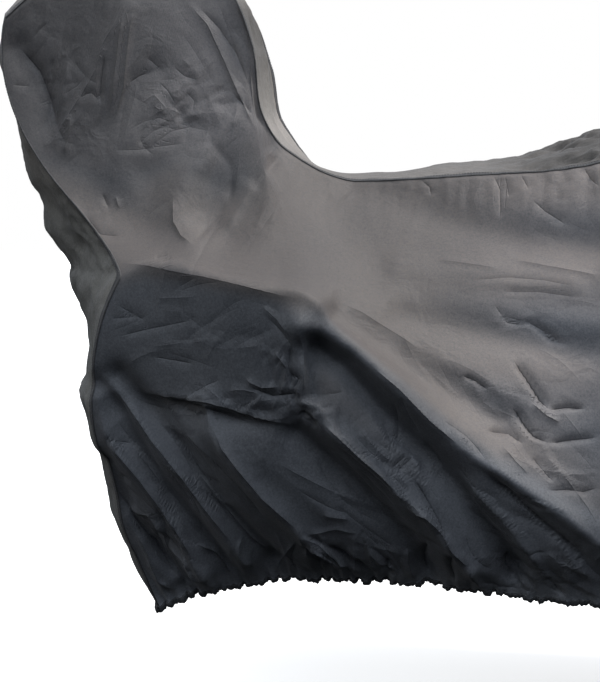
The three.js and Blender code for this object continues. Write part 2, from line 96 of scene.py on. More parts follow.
# Crown of the centre strip: way along it, rise, direction in degrees above forward, fullness
CROWN = [
    (0.00, 20, 200, 2.0),
    (0.10, 50, 190, 2.0),
    (0.20, 68, 184, 2.0),
    (0.34, 66, 180, 2.2),
    (0.42, 90, 180, 2.2),
    (0.50, 172, 178, 2.2),
    (0.60, 176, 178, 2.2),
    (0.70, 128, 176, 2.4),
    (0.88, 48, 172, 2.8),
    (1.00, 44, 146, 2.8),
    (1.10, 44, 98, 2.6),
    (1.20, 8, 66, 2.4),
    (1.27, 14, 20, 2.2),
    (1.34, 4, 30, 2.2),
    (1.40, 4, 70, 2.2),
    (1.47, 14, 90, 2.2),
    (1.53, 24, 92, 2.0),
    (1.60, 62, 98, 1.8),
    (1.75, 70, 112, 2.0),
    (1.87, 60, 80, 2.0),
    (2.00, 70, 40, 2.0),
    (2.50, 84, 14, 2.0),
    (3.00, 42, -14, 2.0),
]

# Main folds of the side cuts, seen from the side: rise, half width, line. A line is a row of points, each
# forward and up.
RIGHT_FOLDS = [
    # tail
    (18, 110, -298, 1281, -301, 1193, -310, 1087, -313, 1004), (6, 28, -304, 1284, -351, 1179, -413, 1042),
    (-6, 32, -254, 1176, -342, 1079), (-9, 28, -507, 1219, -457, 1136, -444, 1091),
    # below the tail and at the saddle
    (-9, 34, -169, 1061, -212, 1014, -257, 990), (14, 40, -115, 1086, -191, 996, -203, 920, -169, 867),
    (-8, 32, -113, 1101, -130, 1035, -152, 912), (-8, 32, -48, 1040, -82, 942, -106, 891),
    # flank
    (-13, 38, 95, 985, 200, 940, 300, 905, 400, 880, 529, 870), (7, 28, 187, 830, 258, 820, 482, 801),
    (4, 30, 183, 776, 259, 773, 378, 755, 527, 735), (-10, 32, 203, 746, 279, 734, 396, 709, 526, 691),
    (5, 26, 76, 778, 128, 758, 213, 706, 306, 653, 373, 617),
    (-14, 28, 97, 756, 141, 724, 233, 667, 318, 613, 375, 580),
    # from the main ridge to the rear corner, ridges and valleys in turn
    (18, 27, 37, 740, 85, 720, 120, 698, 199, 627, 301, 536, 417, 462, 529, 384),
    (-31, 26, 62, 699, 108, 668, 182, 579, 266, 495, 335, 398, 390, 305),
    (24, 27, 58, 589, 102, 550, 168, 490, 243, 423, 287, 361, 318, 324),
    (-25, 27, 26, 550, 64, 514, 143, 430, 212, 341, 236, 289),
    (25, 28, -128, 600, -114, 551, -54, 465, 18, 389, 50, 346),
    (-28, 28, -302, 635, -265, 595, -201, 524, -158, 452, -101, 372, -50, 296),
    (24, 25, -321, 633, -290, 594, -236, 531, -184, 460, -135, 386, -85, 306),
    (-22, 25, -333, 623, -315, 591, -275, 522, -238, 450, -176, 359, -136, 278),
    (22, 26, -334, 600, -318, 533, -267, 456, -222, 382, -184, 303, -171, 274),
    (-19, 26, -340, 470, -308, 382, -252, 296, -222, 237), (12, 24, -314, 370, -289, 316, -245, 240),
    # full part behind the hem, and edges of the side bulge
    (10, 50, -37, 514, 76, 416), (-9, 24, -304, 586, -209, 586, -30, 573), (9, 24, 34, 722, 34, 698, 35, 629),
    (-11, 26, 62, 703, 69, 637),
    # front half
    (15, 40, 620, 330, 760, 300, 905, 262), (-15, 44, 600, 520, 760, 455, 930, 395),
    (16, 48, 930, 1010, 880, 800, 800, 610), (-14, 50, 760, 960, 730, 800, 650, 650),
    (15, 48, 1090, 1010, 1180, 760, 1260, 520), (-16, 56, 1020, 820, 1035, 620, 1050, 400),
    (-13, 46, 1330, 980, 1480, 700, 1590, 420), (13, 42, 1320, 560, 1420, 380, 1470, 230),
]
LEFT_FOLDS = [
    # tail
    (-11, 36, -300, 1240, -350, 1120, -330, 1010), (9, 32, -420, 1230, -400, 1120, -330, 960),
    (-13, 36, -160, 1080, -235, 1000, -300, 970),
    # saddle and flank
    (18, 40, -110, 1060, -150, 980, -130, 890), (-13, 32, -20, 1010, -60, 930, -70, 860),
    (-11, 40, 60, 870, 230, 800, 470, 770), (10, 34, 100, 770, 300, 700, 520, 640),
    # main ridge, second ridge and their valleys
    (15, 30, 48, 782, 150, 676, 300, 560, 420, 440, 520, 340),
    (-22, 30, 60, 690, 190, 540, 330, 430, 430, 330), (17, 34, 20, 650, 110, 520, 220, 420, 290, 290),
    (-18, 32, -20, 590, 70, 460, 130, 330),
    # edges of the side bulge
    (-10, 28, -260, 600, -120, 570, 0, 585), (12, 28, 36, 775, 30, 700, 20, 640),
    # low folds
    (17, 30, -300, 600, -200, 450, -110, 270), (-17, 30, -240, 590, -120, 430, -60, 290),
    (-14, 28, -325, 520, -260, 380, -200, 260), (13, 34, 360, 440, 470, 360, 600, 300),
    # front half
    (-16, 46, 620, 560, 800, 470, 960, 330), (16, 48, 950, 1010, 920, 780, 860, 560),
    (-14, 52, 780, 940, 760, 760, 700, 620), (14, 48, 1120, 980, 1170, 740, 1190, 480),
    (-15, 54, 1030, 780, 1060, 560, 1110, 360), (-14, 46, 1300, 940, 1400, 700, 1540, 460),
    (12, 40, 1400, 520, 1480, 380, 1540, 240),
]

# Folds of the centre strip: along its right seam from the rear hem, across it from the middle
STRIP_FOLDS = [
    # rear
    (14, 34, 485, -330, 505, -150, 498, 60), (-12, 40, 580, -340, 600, -80, 592, 220),
    (-12, 30, 800, -260, 900, -215, 1010, -225), (-10, 36, 760, 150, 900, 60, 1050, 90),
    # top of the tail
    (9, 26, 1225, -170, 1240, -20, 1215, 150), (-8, 28, 1160, -180, 1175, 0, 1150, 170),
    (8, 34, 1370, -140, 1480, 20, 1570, 150),
    # front slope of the tail
    (10, 30, 1760, -150, 1850, -60, 1960, -70), (-9, 34, 1740, 60, 1860, 50, 1980, 20),
    # rise and hood
    (-9, 28, 2290, -120, 2420, -60, 2560, -40), (9, 34, 2330, 60, 2470, 70, 2640, 10),
    (-10, 44, 2760, -120, 2800, 20, 2770, 150),
    # peak and nose
    (9, 44, 3120, -110, 3170, 20, 3130, 130), (-10, 44, 3500, -90, 3620, 20, 3760, 60),
    (9, 40, 4020, 80, 4160, 10, 4300, -50),
]

# Sharper creases of the right side: rise, half width, lean, line. They run out at both ends. lean makes one
# side of a crease steep and the other gentle.
RIGHT_CREASES = [
    # front of the tail, turned in, and the top edge of the bulge
    (-8, 50, 0, -115, 1297, -96, 1256, -84, 1194, -79, 1141, -66, 1098, -45, 1052),
    (4, 9, 0, -297, 838, -232, 834, -137, 819, -49, 801, 22, 785),
    # main ridge and the narrow ridge beside it
    (2.5, 7, 0.3, 155, 673, 202, 632, 251, 583, 302, 539),
    (5, 8, 0.4, 331, 515, 363, 498, 391, 479, 418, 461, 467, 430, 529, 379),
    (6, 8, 0.3, 303, 493, 341, 450, 379, 407, 413, 360, 442, 313),
    (-6, 9, 0, 340, 493, 384, 458, 425, 417, 469, 379, 520, 331),
    # second ridge
    (3.5, 8, 0.4, 71, 577, 101, 549, 135, 516, 168, 487, 200, 454),
    (4.5, 7, 0.4, 207, 434, 241, 417, 267, 387, 284, 354, 317, 317),
    (-4, 5, 0.4, 218, 490, 240, 457, 262, 417, 281, 370),
    # third ridge and its foot
    (4, 9, 0.4, -121, 566, -104, 528, -74, 487, -40, 442, -2, 403, 21, 378),
    (-6, 6, 0.3, 23, 373, 53, 353, 82, 327, 111, 305, 140, 281), (4, 7, 0, 28, 347, 59, 322, 89, 293),
    # fourth and fifth ridges and the lower corner
    (4, 7, 0.4, -311, 626, -284, 592, -238, 529, -185, 458, -136, 384, -97, 323),
    (4.5, 7, 0.4, -330, 553, -310, 508, -270, 453, -237, 401, -209, 351, -185, 297),
    (2.4, 6, 0.3, -164, 477, -121, 421, -78, 352, -39, 313),
    (-4, 7, 0, -330, 424, -298, 366, -258, 302, -234, 246),
    # soft edges of the hollows
    (2, 8, 0.2, 89, 776, 132, 757, 179, 726, 230, 694),
    (-1.8, 9, 0.2, 363, 750, 406, 739, 445, 720, 469, 702), (-3, 13, 0.2, -154, 1053, -115, 1009, -108, 939),
    # long line and pleat of the tail
    (3.2, 7, 0.5, -314, 1291, -328, 1255, -346, 1225, -358, 1180, -384, 1135, -406, 1100, -436, 1046),
    (2.6, 5, 0.4, -307, 1291, -318, 1234, -327, 1158, -335, 1093),
    (2.6, 5, -0.4, -292, 1291, -301, 1233, -309, 1147, -327, 1079),
    (-3.5, 10, 0, -343, 1207, -350, 1162, -351, 1117),
    # rear of the tail
    (-4.5, 6, 0.3, -505, 1220, -469, 1177, -452, 1135, -437, 1087),
    (2.4, 7, 0, -414, 1198, -417, 1166, -428, 1126, -434, 1094),
    (-1.6, 5, 0.4, -422, 1135, -397, 1150, -383, 1164), (-1.4, 4, 0, -389, 1134, -367, 1137, -353, 1124),
    (2.6, 5, 0.3, -440, 1048, -419, 1078, -401, 1098), (2.6, 5, -0.3, -401, 1098, -407, 1064, -416, 1028),
    (-1.2, 4, 0, -516, 1154, -486, 1152),
    # crumples of the tail
    (-2.2, 5, 0.5, -268, 1200, -245, 1180, -264, 1177), (-1.8, 5, 0.5, -219, 1182, -201, 1167, -177, 1160),
    (-2.1, 5, -0.4, -245, 1155, -230, 1141, -216, 1118), (-2.4, 9, 0, -300, 1154, -281, 1168, -256, 1178),
    (-1.5, 6, 0.5, -330, 1035, -278, 1036, -234, 1043, -196, 1048),
    (-1.0, 5, 0.4, -298, 1070, -271, 1086, -244, 1093, -215, 1082),
    (-1.1, 5, 0.4, -282, 1043, -253, 1070, -222, 1080),
    (-1.1, 5, 0.4, -260, 1040, -223, 1068, -189, 1077, -150, 1068),
    (1.2, 7, 0, -281, 1116, -254, 1134, -226, 1104), (-1.5, 5, 0, -198, 1139, -182, 1123, -186, 1103),
    (1.0, 6, 0, -262, 1093, -230, 1111, -197, 1096),
    # under the tail and over the bulge
    (-2.4, 5, 0, -341, 958, -327, 932), (2.2, 5, 0, -315, 953, -309, 933),
    (4, 10, 0.5, -210, 954, -205, 909, -187, 884, -161, 869), (-5, 12, 0.2, -74, 961, -52, 998, -37, 1029),
    (-5, 13, 0.2, -164, 876, -142, 911, -118, 949, -107, 991), (4, 13, 0, -117, 892, -90, 942, -70, 989),
    (-1.8, 4, 0, -228, 848, -204, 854), (-1.8, 4, 0, -212, 841, -195, 849),
    # front of the tail and rear seam
    (2.8, 7, 0.5, -194, 1294, -161, 1258, -129, 1191, -100, 1127, -70, 1074),
    (-2.4, 6, 0, -176, 1288, -141, 1252, -112, 1209, -88, 1152), (-2.6, 5, 0.4, -111, 1131, -78, 1101),
    (-2.8, 7, 0, -367, 921, -337, 888, -299, 884), (2.2, 6, 0, -401, 951, -368, 916, -337, 883),
    # tucks under the top seam
    (-3, 5, 0.3, 211, 987, 230, 971, 234, 953), (-4.2, 6, 0.4, 344, 992, 357, 965, 358, 914),
    (-2.8, 6, 0, 365, 990, 373, 951), (-2.6, 6, 0, 392, 993, 408, 965),
    (-3.2, 5, 0.4, 414, 947, 436, 928, 473, 904), (-3.4, 6, 0, 501, 1007, 513, 986, 529, 970),
    # flank lines
    (2.2, 6, 0.5, 249, 843, 308, 836, 364, 828), (2.4, 6, 0.5, 384, 844, 446, 832, 529, 819),
    (-1.6, 5, 0, 309, 809, 378, 815, 438, 810, 489, 800), (-1.5, 5, 0, 361, 790, 429, 790, 497, 781),
    # creases of the flank
    (-3.6, 5, 0.5, 405, 743, 430, 727, 447, 710, 469, 701), (-2.4, 5, 0.4, 351, 770, 374, 737, 406, 733),
    (-4.4, 6, 0.5, 387, 675, 409, 646, 432, 610, 447, 595), (-3.2, 5, 0.4, 447, 595, 477, 599, 505, 597),
    (2.6, 6, 0, 418, 606, 442, 585, 465, 574), (-2.6, 5, 0.4, 302, 651, 323, 643, 344, 628),
    (-3.8, 6, 0.5, 385, 599, 402, 574, 422, 552, 447, 541), (-3, 6, 0.3, 447, 541, 485, 546, 525, 550),
    (-2.2, 4, 0, 345, 562, 379, 558, 404, 541), (-1.9, 4, 0.3, 420, 519, 441, 493, 456, 478),
    (-2.6, 5, 0.4, 445, 466, 478, 466, 506, 462, 527, 468), (1.8, 5, 0, 371, 536, 391, 511, 413, 491),
    # across the ridges and on the full part
    (-2, 4, 0, 188, 498, 212, 520), (-2, 4, 0, 194, 491, 221, 515),
    (3.5, 8, 0.3, 19, 370, 54, 347, 84, 307, 107, 285), (-3.5, 7, 0, 16, 349, 47, 318, 72, 283),
    (1.6, 5, 0, 64, 410, 109, 399), (1.6, 5, 0, 31, 367, 85, 382, 123, 373),
    # corner of the bulge
    (5, 8, 0.4, 29, 612, 50, 605, 68, 596, 59, 585), (-5, 7, 0, 29, 592, 47, 582, 62, 568),
    (3, 7, 0.4, 36, 735, 36, 694, 39, 661, 39, 621), (-3.5, 7, 0, 21, 705, 15, 669, 20, 632),
    (-2.8, 5, 0, 14, 656, 33, 650, 23, 632), (2.4, 5, 0, -7, 694, 12, 669, 9, 642),
    (-2.4, 5, 0, -19, 751, 3, 729, 21, 705), (2.4, 5, 0.3, -29, 771, -2, 748, 17, 724),
    # foot of the bulge
    (-3, 6, 0.3, -50, 633, -14, 618, 32, 624), (2.6, 6, 0, -60, 648, -32, 633, -1, 635),
    (3.6, 7, 0.5, -265, 617, -195, 611, -128, 605, -97, 600, -42, 584, 26, 569),
    (-4, 8, 0, -255, 605, -190, 597, -123, 590, -48, 567),
    # face of the bulge
    (-2.6, 5, 0.4, -291, 765, -241, 740), (-2.4, 5, 0.4, -305, 742, -256, 747),
    (-2.6, 6, 0.4, -293, 711, -236, 726, -148, 745), (-1.8, 5, 0, -229, 678, -152, 669),
    (1.8, 6, 0, -220, 780, -145, 784), (-1.6, 5, 0, -177, 800, -146, 816),
    # lower rear corner
    (4.2, 7, 0.3, -299, 346, -279, 296, -268, 245, -243, 218), (3.2, 7, 0.3, -309, 386, -262, 384, -236, 344),
    (-4, 8, 0, -274, 337, -255, 291, -235, 248), (3.2, 7, 0.3, -183, 331, -148, 314, -129, 263),
    (2.8, 7, 0, -235, 320, -202, 289, -183, 247), (-2.4, 5, 0, -329, 527, -281, 519),
    (-2, 5, 0, -315, 455, -289, 447),
    # tucks over the hem
    (-3.4, 5, 0, 238, 362, 231, 325, 237, 279), (-3, 5, 0, 283, 346, 280, 315, 287, 273),
    (-3.2, 5, 0, 380, 347, 380, 317, 386, 276), (-3.2, 6, 0.3, 443, 305, 462, 277, 480, 261),
    (-3, 5, 0, 172, 317, 163, 294, 178, 278), (3, 6, 0, 204, 345, 203, 312, 209, 276),
    (3, 6, 0, 313, 327, 319, 295, 336, 267),
]

# Families of short creases: centre, half sizes, direction in degrees above forward and how far it turns,
# length, count, rise, width
RIGHT_FAMILIES = [
    ((-330, 1200), (110, 110), 66, 14, 110, 16, 2.0, 6),
    ((-200, 1120), (90, 60), 25, 30, 50, 34, 1.6, 5),
    ((-430, 1130), (60, 110), 62, 20, 70, 14, 1.8, 5),
    ((-120, 1200), (60, 90), -52, 12, 110, 9, 1.6, 6),
    ((-200, 1105), (80, 60), 20, 35, 40, 40, 2.6, 5),
    ((-420, 1150), (70, 120), 70, 40, 45, 26, 2.6, 5),
    ((-90, 930), (130, 80), 62, 14, 90, 14, 1.6, 8),
    ((-300, 930), (80, 60), 50, 30, 50, 10, 1.6, 5),
    ((420, 965), (170, 30), 82, 14, 55, 30, 2.2, 6),
    ((460, 920), (90, 40), -25, 25, 60, 14, 1.2, 5),
    ((400, 815), (180, 40), -4, 8, 120, 18, 0.5, 5),
    ((430, 735), (120, 40), -15, 16, 70, 12, 1.2, 6),
    ((440, 560), (100, 70), -38, 16, 80, 14, 1.2, 6),
    ((300, 640), (120, 70), -38, 14, 90, 14, 1.2, 7),
    ((10, 660), (36, 70), 80, 34, 50, 20, 2.0, 5),
    ((-120, 715), (130, 60), 8, 26, 90, 22, 2.2, 6),
    ((-90, 598), (150, 22), -8, 22, 70, 28, 3.4, 6),
    ((-170, 470), (110, 120), -52, 12, 130, 26, 3.4, 8),
    ((120, 460), (130, 110), -48, 14, 120, 28, 3.0, 8),
    ((230, 520), (80, 90), -46, 20, 80, 18, 2.8, 6),
    ((400, 410), (110, 70), -38, 14, 110, 22, 3.4, 7),
    ((-200, 310), (90, 60), -62, 16, 90, 24, 3.4, 7),
    ((80, 315), (160, 45), -68, 24, 70, 34, 3.4, 6),
    ((430, 310), (130, 40), -50, 26, 70, 30, 3.6, 6),
    ((800, 900), (180, 160), 70, 26, 130, 24, 1.8, 8),
    ((1000, 600), (260, 180), 74, 26, 130, 30, 1.8, 8),
    ((1450, 700), (180, 260), 72, 24, 130, 28, 1.8, 8),
    ((900, 330), (300, 50), 80, 24, 80, 30, 2.2, 7),
]
LEFT_FAMILIES = [
    ((-300, 1180), (120, 120), 60, 24, 90, 40, 2.0, 6),
    ((-60, 930), (150, 100), 60, 20, 90, 26, 1.8, 7),
    ((360, 950), (260, 40), 82, 16, 60, 34, 2.0, 6),
    ((300, 620), (220, 140), -36, 24, 100, 44, 1.9, 7),
    ((0, 690), (130, 90), 40, 50, 60, 36, 1.9, 5),
    ((-100, 450), (220, 130), -54, 18, 110, 46, 1.9, 7),
    ((200, 330), (380, 50), -66, 26, 70, 50, 2.2, 6),
    ((900, 800), (260, 220), 70, 28, 130, 44, 1.8, 8),
    ((1450, 650), (190, 260), 74, 26, 130, 32, 1.8, 8),
    ((1000, 330), (300, 50), 80, 24, 80, 30, 2.2, 7),
]

# Crumpled areas: centre, half sizes, direction of the wrinkles in degrees above forward, spacing, rise
RIGHT_CRUMPLES = [
    ((-190, 1120), (90, 60), 35, 20, 1.6),
    ((-440, 1120), (70, 160), 60, 26, 1.2),
    ((-60, 900), (190, 110), 65, 46, 0.8),
    ((420, 950), (260, 60), 80, 34, 2.4),
    ((430, 800), (240, 60), -3, 22, 1.0),
    ((400, 520), (190, 120), -40, 40, 2.4),
    ((480, 360), (160, 70), -5, 30, 1.6),
    ((20, 640), (70, 90), 80, 22, 2.6),
    ((-130, 690), (180, 60), 12, 34, 1.3),
    ((-100, 560), (190, 40), -8, 22, 2.0),
    ((150, 420), (180, 110), -50, 36, 1.8),
    ((-200, 330), (140, 90), -60, 30, 2.0),
    ((1050, 700), (420, 330), 75, 60, 2.2),
    ((1500, 620), (240, 330), 75, 50, 2.0),
]
LEFT_CRUMPLES = [
    ((-240, 1150), (170, 120), 50, 30, 2.4),
    ((-430, 1130), (80, 160), 60, 26, 1.8),
    ((-40, 900), (200, 120), 60, 44, 1.8),
    ((400, 930), (320, 70), 80, 36, 2.2),
    ((300, 600), (300, 160), -35, 42, 2.2),
    ((-60, 680), (220, 110), 20, 34, 1.6),
    ((-60, 400), (280, 130), -55, 36, 2.0),
    ((1050, 700), (420, 330), 70, 58, 2.2),
    ((1500, 620), (240, 330), 75, 50, 2.0),
]

# How far from its line a sharp ridge is rounded, and how sharp the ridges are below LOW and above HIGH
RIDGE_TIP = 3.0
LOW, HIGH = 620, 760
SHARP_LOW, SHARP_HIGH = 0.8, 0.1

# How far from its line a crease is rounded, over which share of it each end runs out, what is left there, and
# how much higher than in the tables the creases are below LOW, above HIGH and on the tail
CREASE_TIP = 2.0
RUN_OUT, END_SHARE = 0.22, 0.15
CREASE_LOW, CREASE_MID, CREASE_HIGH = 2.2, 1.0, 1.4
TAIL_FOOT, TAIL_LOW = 1000, 1080
# Creases up to this width and height have a sharp core, which is felt this far and fades between these
WIDEST_CORE, HIGHEST_CORE = 12, 4.6
CORE_REACH, CORE_FADE = 14.0, (5, 10)
CORE_WIDTH, CORE_RISE = 1.6, 0.4
# How high the small creases are against their table, and the share of them that stand out
SMALL_SHARE, OUTWARD_SHARE = 0.45, 0.35
# Layers of a crumple: share of its rise, length and width of a wrinkle in spacings, number of its noise
CRUMPLE_LAYERS = [(0.25, 2.6, 1.0, 40), (0.3, 1.2, 0.5, 80)]

# Groove where a side cut turns under the seam, and how tight the seam draws it behind and ahead of a range
GROOVE_DEPTH, GROOVE_WIDTH = 2.0, 5
SLACK_SEAM, TIGHT_SEAM = 0.35, (120, 330)

# Dust and painted top light: how often the lie of the cloth is evened out for them, how far that turns up,
# and their least on the tail
DUST_AND_LIGHT_SPREAD, DUST_AND_LIGHT_LIE, TAIL_DUST_AND_LIGHT = 60, (0.08, 0.5), 0.6

# Elastic casing of the hem: its height and thickness, sides and steps of its mesh, pitch of its ruffles
HEM_TALL, HEM_THICK = 17.0, 8.0
HEM_SIDES, HEM_STEP = 18, 2.0
RUFFLE = 9.5

# Felled seam: distance in from the edge of the strip and height over it, round its section
SEAM_SECTION = [(-1.2, -0.8), (-1.4, 0.5), (-0.6, 1.5), (0.8, 1.8), (2.4, 1.35), (5.5, 1.2), (8.4, 1.25),
                (10.0, 1.6), (11.0, 1.2), (11.4, 0.2), (11.2, -0.6)]
NEAR_EDGE = 16

# Stitches: rows, length, gap, half thickness of the thread, height over the strip, corners and faces
STITCH_ROWS = (1.9, 9.2)
STITCH, STITCH_GAP, THREAD, STITCH_LIFT = 3.6, 1.6, 0.55, 1.75
STITCH_CORNERS = [(-0.5, 0, -0.6), (-0.36, 1, 0.0), (-0.36, 0, 0.9), (-0.36, -1, 0.0),
                  (0.36, 1, 0.0), (0.36, 0, 0.9), (0.36, -1, 0.0), (0.5, 0, -0.6)]
STITCH_FACES = [(0, 1, 2), (0, 2, 3), (1, 4, 5), (1, 5, 2), (2, 5, 6), (2, 6, 3),
                (4, 7, 5), (5, 7, 6), (0, 3, 1), (1, 3, 6), (1, 6, 4), (4, 6, 7)]

# Cloth: pitch of its weave in metres, how strongly its grain shows, cells in a metre of its nets of crinkles
WEAVE, GRAIN = 0.0011, 0.8
CRINKLE_SCALES = (16.0, 41.0)

# Camera, in metres from the part's origin, and studio
TARGET = Vector((-0.177, 0.0, -0.322))
CAMERA_DISTANCE, CAMERA_TURN, CAMERA_HEIGHT = 3.36, math.radians(8), math.radians(4.5)
LENS = 92.4
FLOOR_HALF, FLOOR_GLOW = 30.0, 0.72
# Lamps: name, strength, width in degrees, colour, where the light comes from
LAMPS = [
    ("key", 3.0, 18, (1.0, 0.955, 0.91), (0.57, 0.0, 0.82)),
    ("sky", 1.15, 40, (0.80, 0.88, 1.0), (0.2, -0.7, 0.68)),
    ("fill", 0.3, 60, (1.0, 0.95, 0.86), (-1.0, -0.25, 0.35)),
]


def through(rows, place):
    """Smooth curve through evenly numbered rows, read at the places given."""
    rows = np.asarray(rows, float)
    last = len(rows) - 1
    start = np.minimum(np.floor(place).astype(int), last - 1)
    t = (place - start)[:, None]
    before, a, b = rows[np.maximum(start - 1, 0)], rows[start], rows[start + 1]
    after = rows[np.minimum(start + 2, last)]
    leave, arrive = (b - before) / 2, (after - a) / 2
    square = 3 * (b - a) - 2 * leave - arrive
    cube = 2 * (a - b) + leave + arrive
    return a + t * (leave + t * (square + t * cube))


def bezier(a, b, c, d, t):
    s = 1 - t
    return s ** 3 * a + 3 * s * s * t * b + 3 * s * t * t * c + t ** 3 * d


def smoothstep(x, low=0.0, high=1.0):
    t = np.clip((x - low) / (high - low), 0, 1)
    return t * t * (3 - 2 * t)


def hump(x, middle, half):
    return np.exp(-((x - middle) / half) ** 2)


def unit(vectors):
    return vectors / np.maximum(np.linalg.norm(vectors, axis=-1, keepdims=True), 1e-9)


def lengths(points, axis):
    """Distance covered along an axis of a grid of points, from its first line."""
    steps = np.linalg.norm(np.diff(points, axis=axis), axis=-1)
    first = np.zeros_like(np.take(steps, [0], axis=axis))
    return np.concatenate([first, np.cumsum(steps, axis=axis)], axis=axis)


def normals(grid, facing):
    """Outward unit normals of a grid of points."""
    return unit(np.cross(np.gradient(grid, axis=0), np.gradient(grid, axis=1)) * facing)


def noise(u, v, seed):
    """Smooth gradient noise of about -1 to 1 at points given in cells."""
    size = 256
    angle = np.random.default_rng(seed).uniform(0, 2 * np.pi, (size, size))
    slope_u, slope_v = np.cos(angle), np.sin(angle)
    cell_u, cell_v = np.floor(u).astype(int), np.floor(v).astype(int)
    fu, fv = u - cell_u, v - cell_v

    def corner(du, dv):
        i, j = (cell_u + du) % size, (cell_v + dv) % size
        return slope_u[i, j] * (fu - du) + slope_v[i, j] * (fv - dv)

    su, sv = (x ** 3 * (x * (x * 6 - 15) + 10) for x in (fu, fv))
    low = corner(0, 0) * (1 - su) + corner(1, 0) * su
    high = corner(0, 1) * (1 - su) + corner(1, 1) * su
    return (low * (1 - sv) + high * sv) * 1.5


def ridged(u, v, seed):
    """Noise with narrow crests and broad flat hollows, of about -0.5 to 1."""
    return 1 - 2.2 * np.sqrt(noise(u, v, seed) ** 2 + 0.004)


def nearest(line, across, up):
    """Distance to a line of points, with its sign, and how far along the line the nearest place is."""
    best = np.full(across.shape, np.inf)
    signed, along = np.zeros(across.shape), np.zeros(across.shape)
    parts = np.linalg.norm(np.diff(line, axis=0), axis=1)
    done = np.concatenate([[0], np.cumsum(parts)])
    for (ax, ay), (bx, by), part, before in zip(line[:-1], line[1:] - line[:-1], parts, done):
        t = np.clip(((across - ax) * bx + (up - ay) * by) / part ** 2, 0, 1)
        dx, dy = across - ax - t * bx, up - ay - t * by
        distance = np.hypot(dx, dy)
        closer = distance < best
        best = np.where(closer, distance, best)
        signed = np.where(closer, np.sign(bx * dy - by * dx) * distance, signed)
        along = np.where(closer, (before + t * part) / done[-1], along)
    return signed, along


def tent(distance, width, tip):
    """Height of an edge that falls off by e in three quarters of its width and is rounded at its tip."""
    return np.exp((tip - np.hypot(distance, tip)) / (0.75 * width))


def fold_rise(folds, across, up):
    """How far folds push the cloth out. Troughs are round, and ridges that hang free come to an edge."""
    rise = np.zeros(across.shape)
    sharp = SHARP_LOW + (SHARP_HIGH - SHARP_LOW) * smoothstep(up, LOW, HIGH)
    for height, width, *flat in folds:
        distance, _ = nearest(np.reshape(flat, (-1, 2)), across, up)
        share = sharp if height > 0 else 0
        rise += height * (hump(distance, 0, width) * (1 - share) + tent(distance, width, RIDGE_TIP) * share)
    return rise


def crease_rise(creases, across, up):
    """Like fold_rise, for creases that lean and run out at their ends.

    The distance to the nearest crease and how hard it is pressed are given too, for its fine sharp core.
    """
    rise, gap, force = np.zeros(across.shape), np.full(across.shape, CORE_REACH), np.zeros(across.shape)
    for height, width, lean, *flat in creases:
        line, reach = np.reshape(flat, (-1, 2)), 4 * width
        low, high = line.min(axis=0) - reach, line.max(axis=0) + reach
        near = (across > low[0]) & (across < high[0]) & (up > low[1]) & (up < high[1])
        if not near.any():
            continue
        distance, along = nearest(line, across[near], up[near])
        ends = smoothstep(along, 0, RUN_OUT) * smoothstep(1 - along, 0, RUN_OUT)
        scale = CREASE_LOW + (CREASE_MID - CREASE_LOW) * smoothstep(up[near], LOW, HIGH)
        scale += (CREASE_HIGH - CREASE_MID) * smoothstep(up[near], TAIL_FOOT, TAIL_LOW)
        side = tent(distance, width * (1 + lean * np.sign(distance)), CREASE_TIP)
        rise[near] += scale * height * side * (END_SHARE + (1 - END_SHARE) * ends)
        if width > WIDEST_CORE or abs(height) > HIGHEST_CORE:
            continue
        closer = np.abs(distance) < np.abs(gap[near])
        gap[near] = np.where(closer, distance, gap[near])
        force[near] = np.where(closer, scale * height * ends, force[near])
    return rise, gap, force * (1 - smoothstep(np.abs(gap), *CORE_FADE))


def small_creases(families, seed):
    """Short creases drawn at random round the places and directions of a table of families."""
    draw = np.random.default_rng(seed)
    rows = []
    for centre, half, direction, turn, length, count, height, width in families:
        for _ in range(count):
            middle = np.array(centre) + np.array(half) * draw.normal(0, 0.5, 2)
            angle = math.radians(direction + turn * draw.normal())
            reach = length * draw.uniform(0.35, 0.75)
            c, s = math.cos(angle), math.sin(angle)
            along, over = np.array([c, s]), np.array([-s, c])
            bend = draw.normal(0, 0.14) * reach
            line = [middle + along * (t * reach) + over * bend * (1 - t * t) for t in (-1, -0.5, 0, 0.5, 1)]
            rise = SMALL_SHARE * height * draw.uniform(0.4, 1.1)
            rise *= 1 if draw.random() < OUTWARD_SHARE else -1
            rows.append((rise, width * draw.uniform(0.7, 1.3), draw.uniform(-0.5, 0.5), *np.ravel(line)))
    return rows


def crumple_rise(crumples, across, up, seed):
    rise = np.zeros(across.shape)
    for number, (centre, half, direction, spacing, height) in enumerate(crumples, seed):
        dx, dy = across - centre[0], up - centre[1]
        fade = np.exp(-((dx / half[0]) ** 2 + (dy / half[1]) ** 2) * 0.8)
        c, s = math.cos(math.radians(direction)), math.sin(math.radians(direction))
        bend = 12 * noise(across / 70, up / 70, number)
        along, over = dx * c + dy * s + bend, dy * c - dx * s + bend
        for share, longer, wider, later in CRUMPLE_LAYERS:
            cells = along / (spacing * longer), over / (spacing * wider)
            rise += share * height * fade * ridged(*cells, later + number)
    return rise


# Gathers along an edge: rise, kind of noise, pitch, reach of a gather away from the edge, fading distance
HEM_GATHERS = [(6.0, noise, 12, 90, 26), (7.0, ridged, 25, 160, 60), (5.0, noise, 60, 260, 130)]
SEAM_PUCKERS = [(2.2, noise, 13, 46, 24), (3.2, ridged, 38, 110, 55)]
STRIP_GATHERS = [(3.4, noise, 11, 70, 26), (5.0, ridged, 27, 160, 60)]
STRIP_PUCKERS = [(2.0, noise, 14, 50, 24)]


